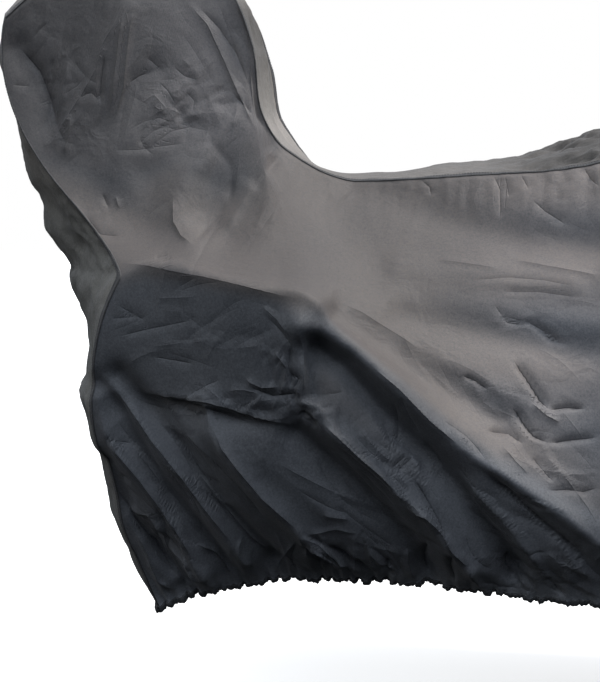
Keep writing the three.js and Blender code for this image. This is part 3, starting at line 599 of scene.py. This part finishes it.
def gathers(table, way, away, seed):
    """Gathers along an edge. way runs along it, and away is the distance from it."""
    return sum(rise * kind(way / pitch, away / reach, number) * np.exp(-away / fade)
               for number, (rise, kind, pitch, reach, fade) in enumerate(table, seed))


def spread(parts, cells):
    """Places from 0 to 1, closer together where parts, given as (end, weight), weigh more."""
    ends = np.array([0] + [end for end, _ in parts], float)
    done = np.concatenate([[0], np.cumsum(np.diff(ends) * [weight for _, weight in parts])])
    return np.interp(np.linspace(0, done[-1], cells + 1), done, ends)


# Places of the lines of a side cut in the section table
PLACES = np.concatenate([
    np.linspace(0, REAR_SECTIONS, REAR_CELLS + 1),
    np.linspace(REAR_SECTIONS, len(SECTIONS) - 1, FRONT_CELLS + 1)[1:],
])
# Share of the way from the seam to the hem at each point of a line, and across the centre strip
DROPS = spread([(0.06, 1.6), (0.85, 0.85), (1, 1.7)], DOWN_CELLS)
OVER = spread([(0.1, 2.2), (0.9, 0.8), (1, 2.2)], STRIP_CELLS)[None, :]


def side_base(side):
    """Grid of points of a side cut before its folds, from the rear edge to the front one, seam to hem. Also
    how far down their sections the points of the rear and the front edge lie."""
    def column(key):
        return through([row[key] for row in SECTIONS], PLACES)

    def step(key, part):
        out, up = column(key).T
        return np.stack([column("lean")[:, part], out, up], axis=1)

    seam, shoulder, hem = column("seam"), column("shoulder"), column("hem")
    upper = [p[:, None] for p in (seam, seam + step("brow", 0), shoulder + step("ledge", 1), shoulder)]
    lower = [p[:, None] for p in (shoulder, shoulder + step("wall", 2), hem + step("tuck", 3), hem)]
    far = through([[row["far"]] for row in SECTIONS], PLACES)

    def read(at):
        t = 2 * at[None, :, None]
        return np.where(t < 1, bezier(*upper, np.minimum(t, 1)), bezier(*lower, np.maximum(t - 1, 0)))

    drop = np.linspace(0, 1, FINE_STEPS)
    reach = np.minimum(SHOULDER_SOFTNESS, np.minimum(drop, 1 - drop))
    points = (2 * read(drop) + read(drop - reach) + read(drop + reach)) / 4
    if side == LEFT:
        points[..., 0] += far * (1 - drop)
    points[..., 1] *= side
    run = lengths(points, 1)
    even = [[np.interp(DROPS * run[i, -1], run[i], points[i, :, axis]) for axis in range(3)]
            for i in range(len(points))]
    ends = [np.interp(DROPS * run[i, -1], run[i], drop) for i in (0, -1)]
    return np.moveaxis(np.array(even), 1, 2), ends


def side_cut(side, folds, creases, small, crumples, seed):
    """Folded grid of a side cut, and the distances and forces of its creases for their cores."""
    grid, _ = side_base(side)
    grid += normals(grid, side) * fold_rise(folds, grid[..., 0], grid[..., 2])[..., None]
    across, up = grid[..., 0], grid[..., 2]
    from_seam, way = lengths(grid, 1), lengths(grid, 0)
    to_hem = from_seam[:, -1:] - from_seam
    rise, gap, force = crease_rise(creases, across, up)
    more, small_gap, small_force = crease_rise(small, across, up)
    rise += more + crumple_rise(crumples, across, up, seed)
    rise += gathers(HEM_GATHERS, way[:, -1:], to_hem, seed + 1)
    tight = SLACK_SEAM + (1 - SLACK_SEAM) * smoothstep(across, *TIGHT_SEAM)
    rise += tight * gathers(SEAM_PUCKERS, way[:, :1], from_seam, seed + 4)
    rise -= GROOVE_DEPTH * hump(from_seam, 0, GROOVE_WIDTH)
    rise += noise(across / 120, up / 100, seed + 6)
    fade = smoothstep(from_seam, 0, 14)
    grid += normals(grid, side) * (rise * (0.25 + 0.75 * fade))[..., None]
    return grid, {"crease_gap": gap, "crease_force": force * fade,
                  "small_gap": small_gap, "small_force": small_force * fade}


def seam_line(grid):
    """Edge shared with the centre strip, from the rear hem over the top to the front hem."""
    return np.concatenate([grid[0, :0:-1], grid[:, 0], grid[-1, 1:]])


def centre_strip(right, left, seed):
    """Folded grid of the centre strip between the seam lines of the side cuts."""
    _, (rear, front) = side_base(RIGHT)
    way = np.concatenate([(1 - rear)[:0:-1], 1 + PLACES / (len(SECTIONS) - 1), 2 + front[1:]])
    table = np.array(CROWN, float)
    after = np.clip(np.searchsorted(table[:, 0], way), 1, len(table) - 1)
    a, b = table[after - 1], table[after]
    t = smoothstep((way - a[:, 0]) / (b[:, 0] - a[:, 0]))[:, None]
    _, rise, turn, full = (a + t * (b - a)).T
    turn = np.radians(turn)
    outward = np.stack([np.cos(turn), 0 * turn, np.sin(turn)], axis=1)
    crown = rise[:, None] * (1 - np.abs(2 * OVER - 1) ** full[:, None])
    grid = right[:, None] * (1 - OVER[..., None]) + left[:, None] * OVER[..., None]
    grid = grid + outward[:, None] * crown[..., None]
    reach = lengths(right, 0)[:, None] + 0 * OVER
    sewn = np.minimum(1, 6 * np.minimum(OVER, 1 - OVER))
    grid = grid + normals(grid, STRIP) * (fold_rise(STRIP_FOLDS, reach, grid[..., 1]) * sewn)[..., None]
    side, over = grid[..., 1], lengths(grid, 1)
    to_edge = np.minimum(over, over[:, -1:] - over)
    to_hem = np.minimum(reach, reach[-1:] - reach)
    rise = 2.0 * noise(reach / 120, side / 90, seed) + 1.6 * ridged(reach / 60, side / 34, seed + 1)
    rough = 7.04 * hump(reach, 2660, 190) + 2.56 * hump(reach, 700, 420)
    rise += rough * ridged(reach / 70 + side / 90, side / 30 - reach / 160, seed + 2)
    rise += 9 * hump(reach, 2640, 130) * ridged(reach / 60 + side / 45, side / 60, seed + 6)
    # Where the strip lies closer to what it covers
    rise -= 15 * smoothstep(reach, 2380, 2580) * (1 - smoothstep(reach, 2800, 3000))
    rise -= 10 * hump(reach, 1020, 180) + 10 * hump(reach, 1880, 110)
    rise += gathers(STRIP_PUCKERS, reach, to_edge, seed + 3)
    rise += gathers(STRIP_GATHERS, side, to_hem, seed + 4)
    return grid + normals(grid, STRIP) * (rise * smoothstep(to_edge, 0, 22))[..., None]


def to_frame(points):
    return (points - REST) * MM


def place_object(name, data):
    thing = bpy.data.objects.new(name, data)
    bpy.context.collection.objects.link(thing)
    return thing


def make_mesh(name, points, faces, uv):
    mesh = bpy.data.meshes.new(name)
    mesh.from_pydata(to_frame(points).tolist(), [], faces.tolist())
    mesh.polygons.foreach_set("use_smooth", np.ones(len(faces), bool))
    index = np.empty(len(mesh.loops), int)
    mesh.loops.foreach_get("vertex_index", index)
    mesh.uv_layers.new(name="cloth").data.foreach_set("uv", (uv * MM)[index].astype(np.float32).ravel())
    return place_object(name, mesh)


def grid_faces(rows, columns, facing, closed=False):
    i, k = np.meshgrid(np.arange(rows - 1), np.arange(columns if closed else columns - 1), indexing="ij")
    here, ahead, after = i * columns, (i + 1) * columns, (k + 1) % columns
    faces = np.stack([here + k, ahead + k, ahead + after, here + after], -1).reshape(-1, 4)
    return faces if facing > 0 else faces[:, ::-1]


def flat_place(along, over):
    """Places on the flat cloth, in rows like those of the points of a grid."""
    return np.stack(np.broadcast_arrays(along, over), -1).reshape(-1, 2)


def cloth_piece(name, grid, facing, painted_light, core=None):
    """Cloth of a grid, with painted light and shade given as how pale each point is, and core where its
    creases are sharp.
    """
    rows, columns = grid.shape[:2]
    uv = flat_place(lengths(grid, 0)[:, [columns // 2]], lengths(grid, 1))
    piece = make_mesh(name, grid.reshape(-1, 3), grid_faces(rows, columns, facing), uv)
    for word, values in {"painted_light": painted_light, "dust_and_top_light": dust_and_top_light_share(grid, facing), **(core or {})}.items():
        shade = piece.data.attributes.new(word, "FLOAT", "POINT")
        shade.data.foreach_set("value", values.astype(np.float32).ravel())
    return piece


def dust_and_top_light_share(grid, facing):
    """Dust and painted top light lie where the whole form faces up, whatever its small creases do, and on the
    tail.
    """
    lie = normals(grid, facing)[..., 2]
    for _ in range(DUST_AND_LIGHT_SPREAD):
        wide = np.pad(lie, 1, mode="edge")
        lie = (wide[2:, 1:-1] + wide[:-2, 1:-1] + wide[1:-1, 2:] + wide[1:-1, :-2]) / 4
    tail = smoothstep(grid[..., 2], 900, 1050) * (1 - smoothstep(grid[..., 0], 0, 250))
    return np.maximum(smoothstep(lie, *DUST_AND_LIGHT_LIE), TAIL_DUST_AND_LIGHT * tail)


def side_painted_light(grid):
    """Painted light and shade: darker at the rear of the tail as painted shade and paler along its front and
    top as painted light, a painted paler patch towards the front above the low folds and a painted darker one
    over the middle of the flank higher up, and much paler towards the hem as painted light on its gathers.
    """
    forward, up = grid[..., 0], grid[..., 2]
    to_hem = lengths(grid, 1)[:, -1:] - lengths(grid, 1)
    tail = smoothstep(up, 850, 990) * (1 - smoothstep(forward, -60, 200))
    fade = 0.74 + 0.2 * smoothstep(forward, -300, -150)
    fade += 0.65 * smoothstep(forward, -420, -110) * smoothstep(up, 980, 1080)
    front = 1 + 0.5 * smoothstep(forward, 200, 480) * smoothstep(up, 400, 600)
    front -= 0.22 * hump(forward, 60, 260) * smoothstep(up, 450, 650)
    # Much paler towards the hem: painted light on its gathers
    return (1 + tail * (fade - 1)) * front * (1 + 1.6 * np.exp(-to_hem / 90) + 3.5 * np.exp(-to_hem / 24))


def strip_painted_light(grid):
    """Painted shade where the strip lies in folds at the foot of the rise, painted light low down at the
    rear, and a painted highlight on the front slope of the tail.
    """
    reach = lengths(grid, 0)[:, :1] + 0 * grid[..., 0]
    dark = 0.5 * smoothstep(reach, 2380, 2560) * (1 - smoothstep(reach, 2650, 3200))
    return 1 - dark + 0.7 * (1 - smoothstep(reach, 1000, 1350)) + 1.2 * hump(reach, 1980, 110)


def resample(line, step, *others):
    """Even steps along a line, and the line and other arrays that follow it at those steps."""
    run = lengths(line, 0)
    count = max(2, int(round(run[-1] / step)))
    at = np.linspace(0, run[-1], count + 1)
    return at, *[np.stack([np.interp(at, run, a[:, k]) for k in range(3)], 1) for a in (line, *others)]


def hem_band(name, edges, seed):
    """Elastic casing round a hem: a flat tube with close ruffles. edges holds (edge line, its downward
    directions, its outward directions)."""
    points, faces, uvs, start = [], [], [], 0
    phi = np.linspace(0, 2 * np.pi, HEM_SIDES, endpoint=False)[None, :]
    for number, (line, down, out) in enumerate(edges):
        s, line, down, out = resample(line, HEM_STEP, down, out)
        down, out, s = unit(down), unit(out), s[:, None]
        drift = 1.6 * noise(s / 26, s * 0 + 0.5 + number, seed)
        ruffle = 0.5 + 0.5 * np.cos(2 * np.pi * s / RUFFLE + 2.2 * drift + 0.9 * np.sin(phi + 2 * drift))
        big = noise(s / 33, s * 0 + 7.5, seed + 1)
        wide = HEM_THICK / 2 * (0.62 + 0.62 * ruffle ** 0.8 + 0.18 * big)
        tall = HEM_TALL / 2 * (0.92 + 0.16 * ruffle * (1 + 0.6 * np.sin(3 * phi + drift)) + 0.10 * big)
        ring = (line[:, None] + down[:, None] * (tall * np.cos(phi) - 2.0)[..., None]
                + out[:, None] * (wide * np.sin(phi))[..., None])
        points.append(ring.reshape(-1, 3))
        faces.append(grid_faces(len(s), HEM_SIDES, 1, closed=True) + start)
        uvs.append(flat_place(s, phi * HEM_TALL / 3))
        start += len(s) * HEM_SIDES
    return make_mesh(name, np.concatenate(points), np.concatenate(faces), np.concatenate(uvs))


def hem_edge(grid, out):
    """Edge on the first row of a grid with outward normals out: its line, its directions down past the
    cloth, and its outward ones."""
    down = grid[0] - grid[4]
    return grid[0], down - out[0] * np.sum(down * out[0], axis=1, keepdims=True), out[0]


def strip_reader(strip, side):
    """Reads points and normals of the strip at distances from one of its edges."""
    out = normals(strip, STRIP)
    grid, out = (strip, out) if side == RIGHT else (strip[:, ::-1], out[:, ::-1])
    run = lengths(grid[:, :NEAR_EDGE], 1)

    def read(distance):
        return [np.array([[np.interp(distance, run[i], rows[i, :NEAR_EDGE, a]) for a in range(3)]
                          for i in range(len(grid))]) for rows in (grid, out)]

    return read, grid


def seam_band(name, strip, side, seed):
    """Felled seam on the edge of the strip: a double fold of cloth with raised edges."""
    read, grid = strip_reader(strip, side)
    inward = unit(grid[:, 1] - grid[:, 0])
    run = lengths(grid[:, 0], 0)
    rings = []
    for place, height in SEAM_SECTION:
        points, out = read(max(place, 0.0))
        wobble = 0.45 * noise(run / 9, run * 0 + place / 9, seed)
        wobble += 0.5 * noise(run / 40, run * 0 + 3.3, seed + 1)
        lift = height + wobble * (height > 0)
        rings.append(points + inward * min(place, 0.0) + out * lift[:, None])
    band = np.stack(rings, axis=1)
    faces = grid_faces(*band.shape[:2], -side, closed=True)
    return make_mesh(name, band.reshape(-1, 3), faces, flat_place(run[:, None], lengths(band, 1)))


def stitches(name, strip, side):
    """Two rows of thread along the felled seam, each stitch a short rounded bar."""
    read, _ = strip_reader(strip, side)
    points, faces, start = [], [], 0
    for place in STITCH_ROWS:
        line, out = read(place)
        _, line, out = resample(line, STITCH + STITCH_GAP, out)
        out, along = unit(out)[:-1], unit(np.diff(line, axis=0))
        middle, over = (line[:-1] + line[1:]) / 2, np.cross(out, along)
        block = np.stack([middle + along * (a * STITCH) + over * (b * THREAD)
                          + out * (STITCH_LIFT + c * THREAD) for a, b, c in STITCH_CORNERS], axis=1)
        first = np.arange(len(block))[:, None, None] * len(STITCH_CORNERS) + start
        points.append(block.reshape(-1, 3))
        faces.append((np.array(STITCH_FACES)[None] + first).reshape(-1, 3))
        start += len(points[-1])
    points = np.concatenate(points)
    return make_mesh(name, points, np.concatenate(faces), points[:, [0, 2]])


# Materials

def node(tree, kind, inputs=(), **settings):
    """Shader node with each input named joined to a socket or set to a value."""
    made = tree.nodes.new(kind)
    for key, value in settings.items():
        setattr(made, key, value)
    fill(tree, made, inputs)
    return made


def fill(tree, made, inputs):
    for key, value in dict(inputs).items():
        if isinstance(value, bpy.types.NodeSocket):
            tree.links.new(value, made.inputs[key])
        elif isinstance(value, tuple) and made.inputs[key].type == "RGBA":
            made.inputs[key].default_value = (*value, 1)
        else:
            made.inputs[key].default_value = value


def math_node(tree, operation, *values):
    return node(tree, "ShaderNodeMath", enumerate(values), operation=operation).outputs[0]


def times(tree, a, b):
    return math_node(tree, "MULTIPLY", a, b)


def plus(tree, a, b):
    return math_node(tree, "ADD", a, b)


def attribute(tree, word):
    return node(tree, "ShaderNodeAttribute", attribute_name=word).outputs["Fac"]


def noise_node(tree, vector, scale, detail=2.0, roughness=0.5):
    inputs = {"Vector": vector, "Scale": scale, "Detail": detail, "Roughness": roughness}
    return node(tree, "ShaderNodeTexNoise", inputs).outputs["Fac"]


def map_range(tree, value, kind="LINEAR", **ends):
    inputs = {"Value": value, **{key.replace("_", " "): end for key, end in ends.items()}}
    return node(tree, "ShaderNodeMapRange", inputs, interpolation_type=kind).outputs["Result"]


def ramp(tree, value, start, dark, end, light):
    made = node(tree, "ShaderNodeValToRGB", {"Fac": value})
    for element, place, colour in zip(made.color_ramp.elements, (start, end), (dark, light)):
        element.position, element.color = place, (*colour, 1)
    return made.outputs["Color"]


def mix(tree, share, a, b, blend="MIX"):
    made = node(tree, "ShaderNodeMix", data_type="RGBA", blend_type=blend)
    fill(tree, made, {"Factor": share, 6: a, 7: b})
    return made.outputs[2]


def bump(tree, height, strength, distance, *before):
    inputs = {"Height": height, "Strength": strength, "Distance": distance}
    inputs.update(("Normal", normal) for normal in before)
    return node(tree, "ShaderNodeBump", inputs).outputs["Normal"]


def weave_height(tree, pitch):
    """Plain weave of threads a pitch apart, from the cloth's own coordinates in metres."""
    uv = node(tree, "ShaderNodeUVMap", uv_map="cloth").outputs["UV"]
    parts = node(tree, "ShaderNodeSeparateXYZ", {"Vector": uv})
    warp, weft = (math_node(tree, "SINE", times(tree, parts.outputs[axis], math.pi / pitch)) for axis in "XY")
    return times(tree, warp, weft)


def crease_cores(tree):
    """Height in mm of the sharp cores of the creases."""
    heights = []
    for word in ("crease", "small"):
        fall = times(tree, math_node(tree, "ABSOLUTE", attribute(tree, word + "_gap")), -1 / CORE_WIDTH)
        force = times(tree, attribute(tree, word + "_force"), CORE_RISE)
        heights.append(times(tree, math_node(tree, "EXPONENT", fall), force))
    return plus(tree, *heights)


def crinkles(tree, place):
    """A net of fine sharp creases, as thin cloth keeps from being packed, stronger in some places."""
    shift = times(tree, noise_node(tree, place, 9.0), 0.12)
    turn = node(tree, "ShaderNodeCombineXYZ", {axis: shift for axis in "XYZ"}).outputs["Vector"]
    bent = node(tree, "ShaderNodeVectorMath", {0: place, 1: turn}, operation="ADD").outputs["Vector"]
    heights = []
    for scale in CRINKLE_SCALES:
        cells = node(tree, "ShaderNodeTexVoronoi", feature="F1", distance="MINKOWSKI")
        fill(tree, cells, {"Vector": bent, "Scale": scale, "Exponent": 0.8})
        heights.append(times(tree, cells.outputs["Distance"], CRINKLE_SCALES[0] / scale))
    where = map_range(tree, noise_node(tree, place, 4.0), "SMOOTHSTEP", From_Min=0.38, From_Max=0.62)
    return times(tree, plus(tree, *heights), where)


def new_material(name):
    material = bpy.data.materials.new(name)
    material.use_nodes = True
    tree = material.node_tree
    place = node(tree, "ShaderNodeTexCoord").outputs["Object"]
    return material, tree, tree.nodes["Principled BSDF"], place


def cloth_material(name, dark, light, dust_and_top_light_colour=None, relief=1.0):
    """Coated cloth of a plain weave. Dust and painted top light come from a third colour when one is given,
    laid on as the attributes of cloth_piece say, and the painted light and shade of cloth_piece makes the
    colour paler or darker.
    """
    material, tree, shader, place = new_material(name)
    broad = noise_node(tree, place, 5.0, 3.0)
    patches = noise_node(tree, place, 22.0, 4.0, 0.6)
    grain = noise_node(tree, place, 260.0, 3.0, 0.8)
    threads = weave_height(tree, WEAVE)
    tone = plus(tree, times(tree, broad, 0.3), times(tree, patches, 0.15))
    tone = plus(tree, tone, math_node(tree, "MULTIPLY_ADD", grain, GRAIN, 0.275 - 0.5 * GRAIN))
    tone = plus(tree, tone, times(tree, threads, 0.10))
    colour = ramp(tree, tone, 0.35, dark, 0.78, light)
    surface = bump(tree, noise_node(tree, place, 60.0, 3.0, 0.6), min(1.0, 0.35 * relief), 0.0022)
    surface = bump(tree, crinkles(tree, place), 0.6, 0.0016, surface)
    if dust_and_top_light_colour:
        # Dust and painted top light: the third colour, laid on where the whole form faces up and on the tail
        cover = plus(tree, times(tree, broad, 0.5), 0.05)
        cover = plus(tree, cover, math_node(tree, "MULTIPLY_ADD", grain, 1.6, -0.35))
        colour = mix(tree, times(tree, attribute(tree, "dust_and_top_light"), cover), colour, dust_and_top_light_colour)
        # Painted light and shade: each point's painted paleness multiplies the colour
        painted_light = attribute(tree, "painted_light")
        painted_light_colour = node(tree, "ShaderNodeCombineColor", {0: painted_light, 1: painted_light, 2: painted_light}).outputs["Color"]
        colour = mix(tree, 1.0, colour, painted_light_colour, "MULTIPLY")
        surface = bump(tree, crease_cores(tree), 1.0, MM, surface)
    surface = bump(tree, grain, 0.35, 0.0006, surface)
    surface = bump(tree, threads, 0.5, 0.00022, surface)
    fill(tree, shader, {
        "Base Color": colour, "Normal": surface,
        "Roughness": map_range(tree, patches, To_Min=0.44, To_Max=0.64),
        "Specular IOR Level": 0.35, "Sheen Weight": 0.12, "Sheen Roughness": 0.45,
        "Sheen Tint": (0.82, 0.84, 0.9),
    })
    return material


def thread_material():
    material, tree, shader, place = new_material("thread")
    twist = noise_node(tree, place, 900.0)
    fill(tree, shader, {
        "Base Color": ramp(tree, twist, 0.3, (0.05, 0.048, 0.048), 0.7, (0.13, 0.12, 0.12)),
        "Normal": bump(tree, twist, 0.6, 0.0003), "Roughness": 0.6, "Sheen Weight": 0.3,
    })
    return material


# Camera, floor and light

def aim(thing, place, target):
    thing.location = place
    thing.rotation_euler = (Vector(target) - Vector(place)).to_track_quat("-Z", "Y").to_euler()


def make_camera():
    camera = place_object("camera", bpy.data.cameras.new("camera"))
    level = math.cos(CAMERA_HEIGHT)
    back = Vector((math.sin(CAMERA_TURN) * level, -math.cos(CAMERA_TURN) * level, math.sin(CAMERA_HEIGHT)))
    aim(camera, TARGET + back * CAMERA_DISTANCE, TARGET)
    camera.data.lens = LENS
    bpy.context.scene.camera = camera


def make_floor():
    mesh = bpy.data.meshes.new("floor")
    corners = ((-1, -1), (1, -1), (1, 1), (-1, 1))
    mesh.from_pydata([(x * FLOOR_HALF, y * FLOOR_HALF, GROUND) for x, y in corners], [], [(0, 1, 2, 3)])
    floor = place_object("floor", mesh)
    material, tree, shader, place = new_material("floor")
    shade = noise_node(tree, place, 1.5)
    fill(tree, shader, {
        "Base Color": ramp(tree, shade, 0.3, (0.86, 0.86, 0.86), 0.7, (0.89, 0.89, 0.89)),
        "Roughness": 0.9, "Specular IOR Level": 0.1,
        "Emission Color": (1, 1, 1), "Emission Strength": FLOOR_GLOW,
    })
    floor.data.materials.append(material)
    floor.visible_diffuse = floor.visible_glossy = False


def make_lights():
    for name, energy, width, colour, place in LAMPS:
        lamp = bpy.data.lights.new(name, "SUN")
        lamp.energy, lamp.angle, lamp.color = energy, math.radians(width), colour
        aim(place_object(name, lamp), place, (0.0, 0.0, 0.0))
    world = bpy.data.worlds.new("studio")
    bpy.context.scene.world = world
    world.use_nodes = True
    tree = world.node_tree
    seen = tree.nodes["Background"]
    fill(tree, seen, {"Color": (1, 1, 1), "Strength": 1.0})
    direction = node(tree, "ShaderNodeTexCoord").outputs["Generated"]
    height = node(tree, "ShaderNodeSeparateXYZ", {"Vector": direction}).outputs["Z"]
    dome = map_range(tree, height, "SMOOTHSTEP", From_Min=-0.08, From_Max=0.75, To_Min=0.015, To_Max=0.8)
    lit = node(tree, "ShaderNodeBackground", {"Color": (0.84, 0.91, 1.0), "Strength": dome})
    rays = node(tree, "ShaderNodeLightPath").outputs["Is Camera Ray"]
    choose = node(tree, "ShaderNodeMixShader", {0: rays, 1: lit.outputs[0], 2: seen.outputs[0]})
    tree.links.new(choose.outputs["Shader"], tree.nodes["World Output"].inputs["Surface"])
    bpy.context.scene.view_settings.view_transform = "Standard"


def dress(piece, material, node_name=None):
    piece.data.materials.append(material)
    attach(piece, "root")
    if node_name:
        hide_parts(node_name)
    return piece


def side_pieces(word, grid, core, side, seed):
    panel = dress(cloth_piece("side_cloth_" + word, grid, side, side_painted_light(grid), core), cloth,
                  "side_panel_" + word)
    edge = hem_edge(*(np.swapaxes(rows, 0, 1)[::-1] for rows in (grid, normals(grid, side))))
    return panel, dress(hem_band("hem_" + word, [edge], seed), hem_cloth)


make_camera()
make_floor()
make_lights()

right_grid, right_core = side_cut(RIGHT, RIGHT_FOLDS, RIGHT_CREASES, small_creases(RIGHT_FAMILIES, 61),
                                  RIGHT_CRUMPLES, 11)
left_grid, left_core = side_cut(LEFT, LEFT_FOLDS, [], small_creases(LEFT_FAMILIES, 261), LEFT_CRUMPLES, 211)
strip_grid = centre_strip(seam_line(right_grid), seam_line(left_grid), 411)
strip_out = normals(strip_grid, STRIP)

# The third colour of the cover and strip cloth is for dust and painted top light
cloth = cloth_material("cover_cloth", (0.056, 0.059, 0.066), (0.128, 0.134, 0.146), (0.134, 0.115, 0.104))
strip_cloth = cloth_material("strip_cloth", (0.058, 0.057, 0.052), (0.132, 0.128, 0.118),
                             (0.165, 0.150, 0.138), 2.2)
hem_cloth = cloth_material("hem_cloth", (0.05, 0.052, 0.056), (0.12, 0.123, 0.13))
seam_cloth = cloth_material("seam_cloth", (0.042, 0.042, 0.044), (0.082, 0.08, 0.079))
thread = thread_material()

right_panel, right_hem = side_pieces("right", right_grid, right_core, RIGHT, 21)
left_panel, left_hem = side_pieces("left", left_grid, left_core, LEFT, 22)
centre_panel = dress(cloth_piece("centre_cloth", strip_grid, STRIP, strip_painted_light(strip_grid)), strip_cloth,
                     "centre_panel")
centre_hem = dress(hem_band("hem_centre", [hem_edge(strip_grid, strip_out),
                                            hem_edge(strip_grid[::-1], strip_out[::-1])], 23), hem_cloth)
bands = [dress(seam_band("seam_" + word, strip_grid, side, 31), seam_cloth)
         for word, side in (("right", RIGHT), ("left", LEFT))]
threads = [dress(stitches("stitches_" + word, strip_grid, side), thread)
           for word, side in (("right", RIGHT), ("left", LEFT))]
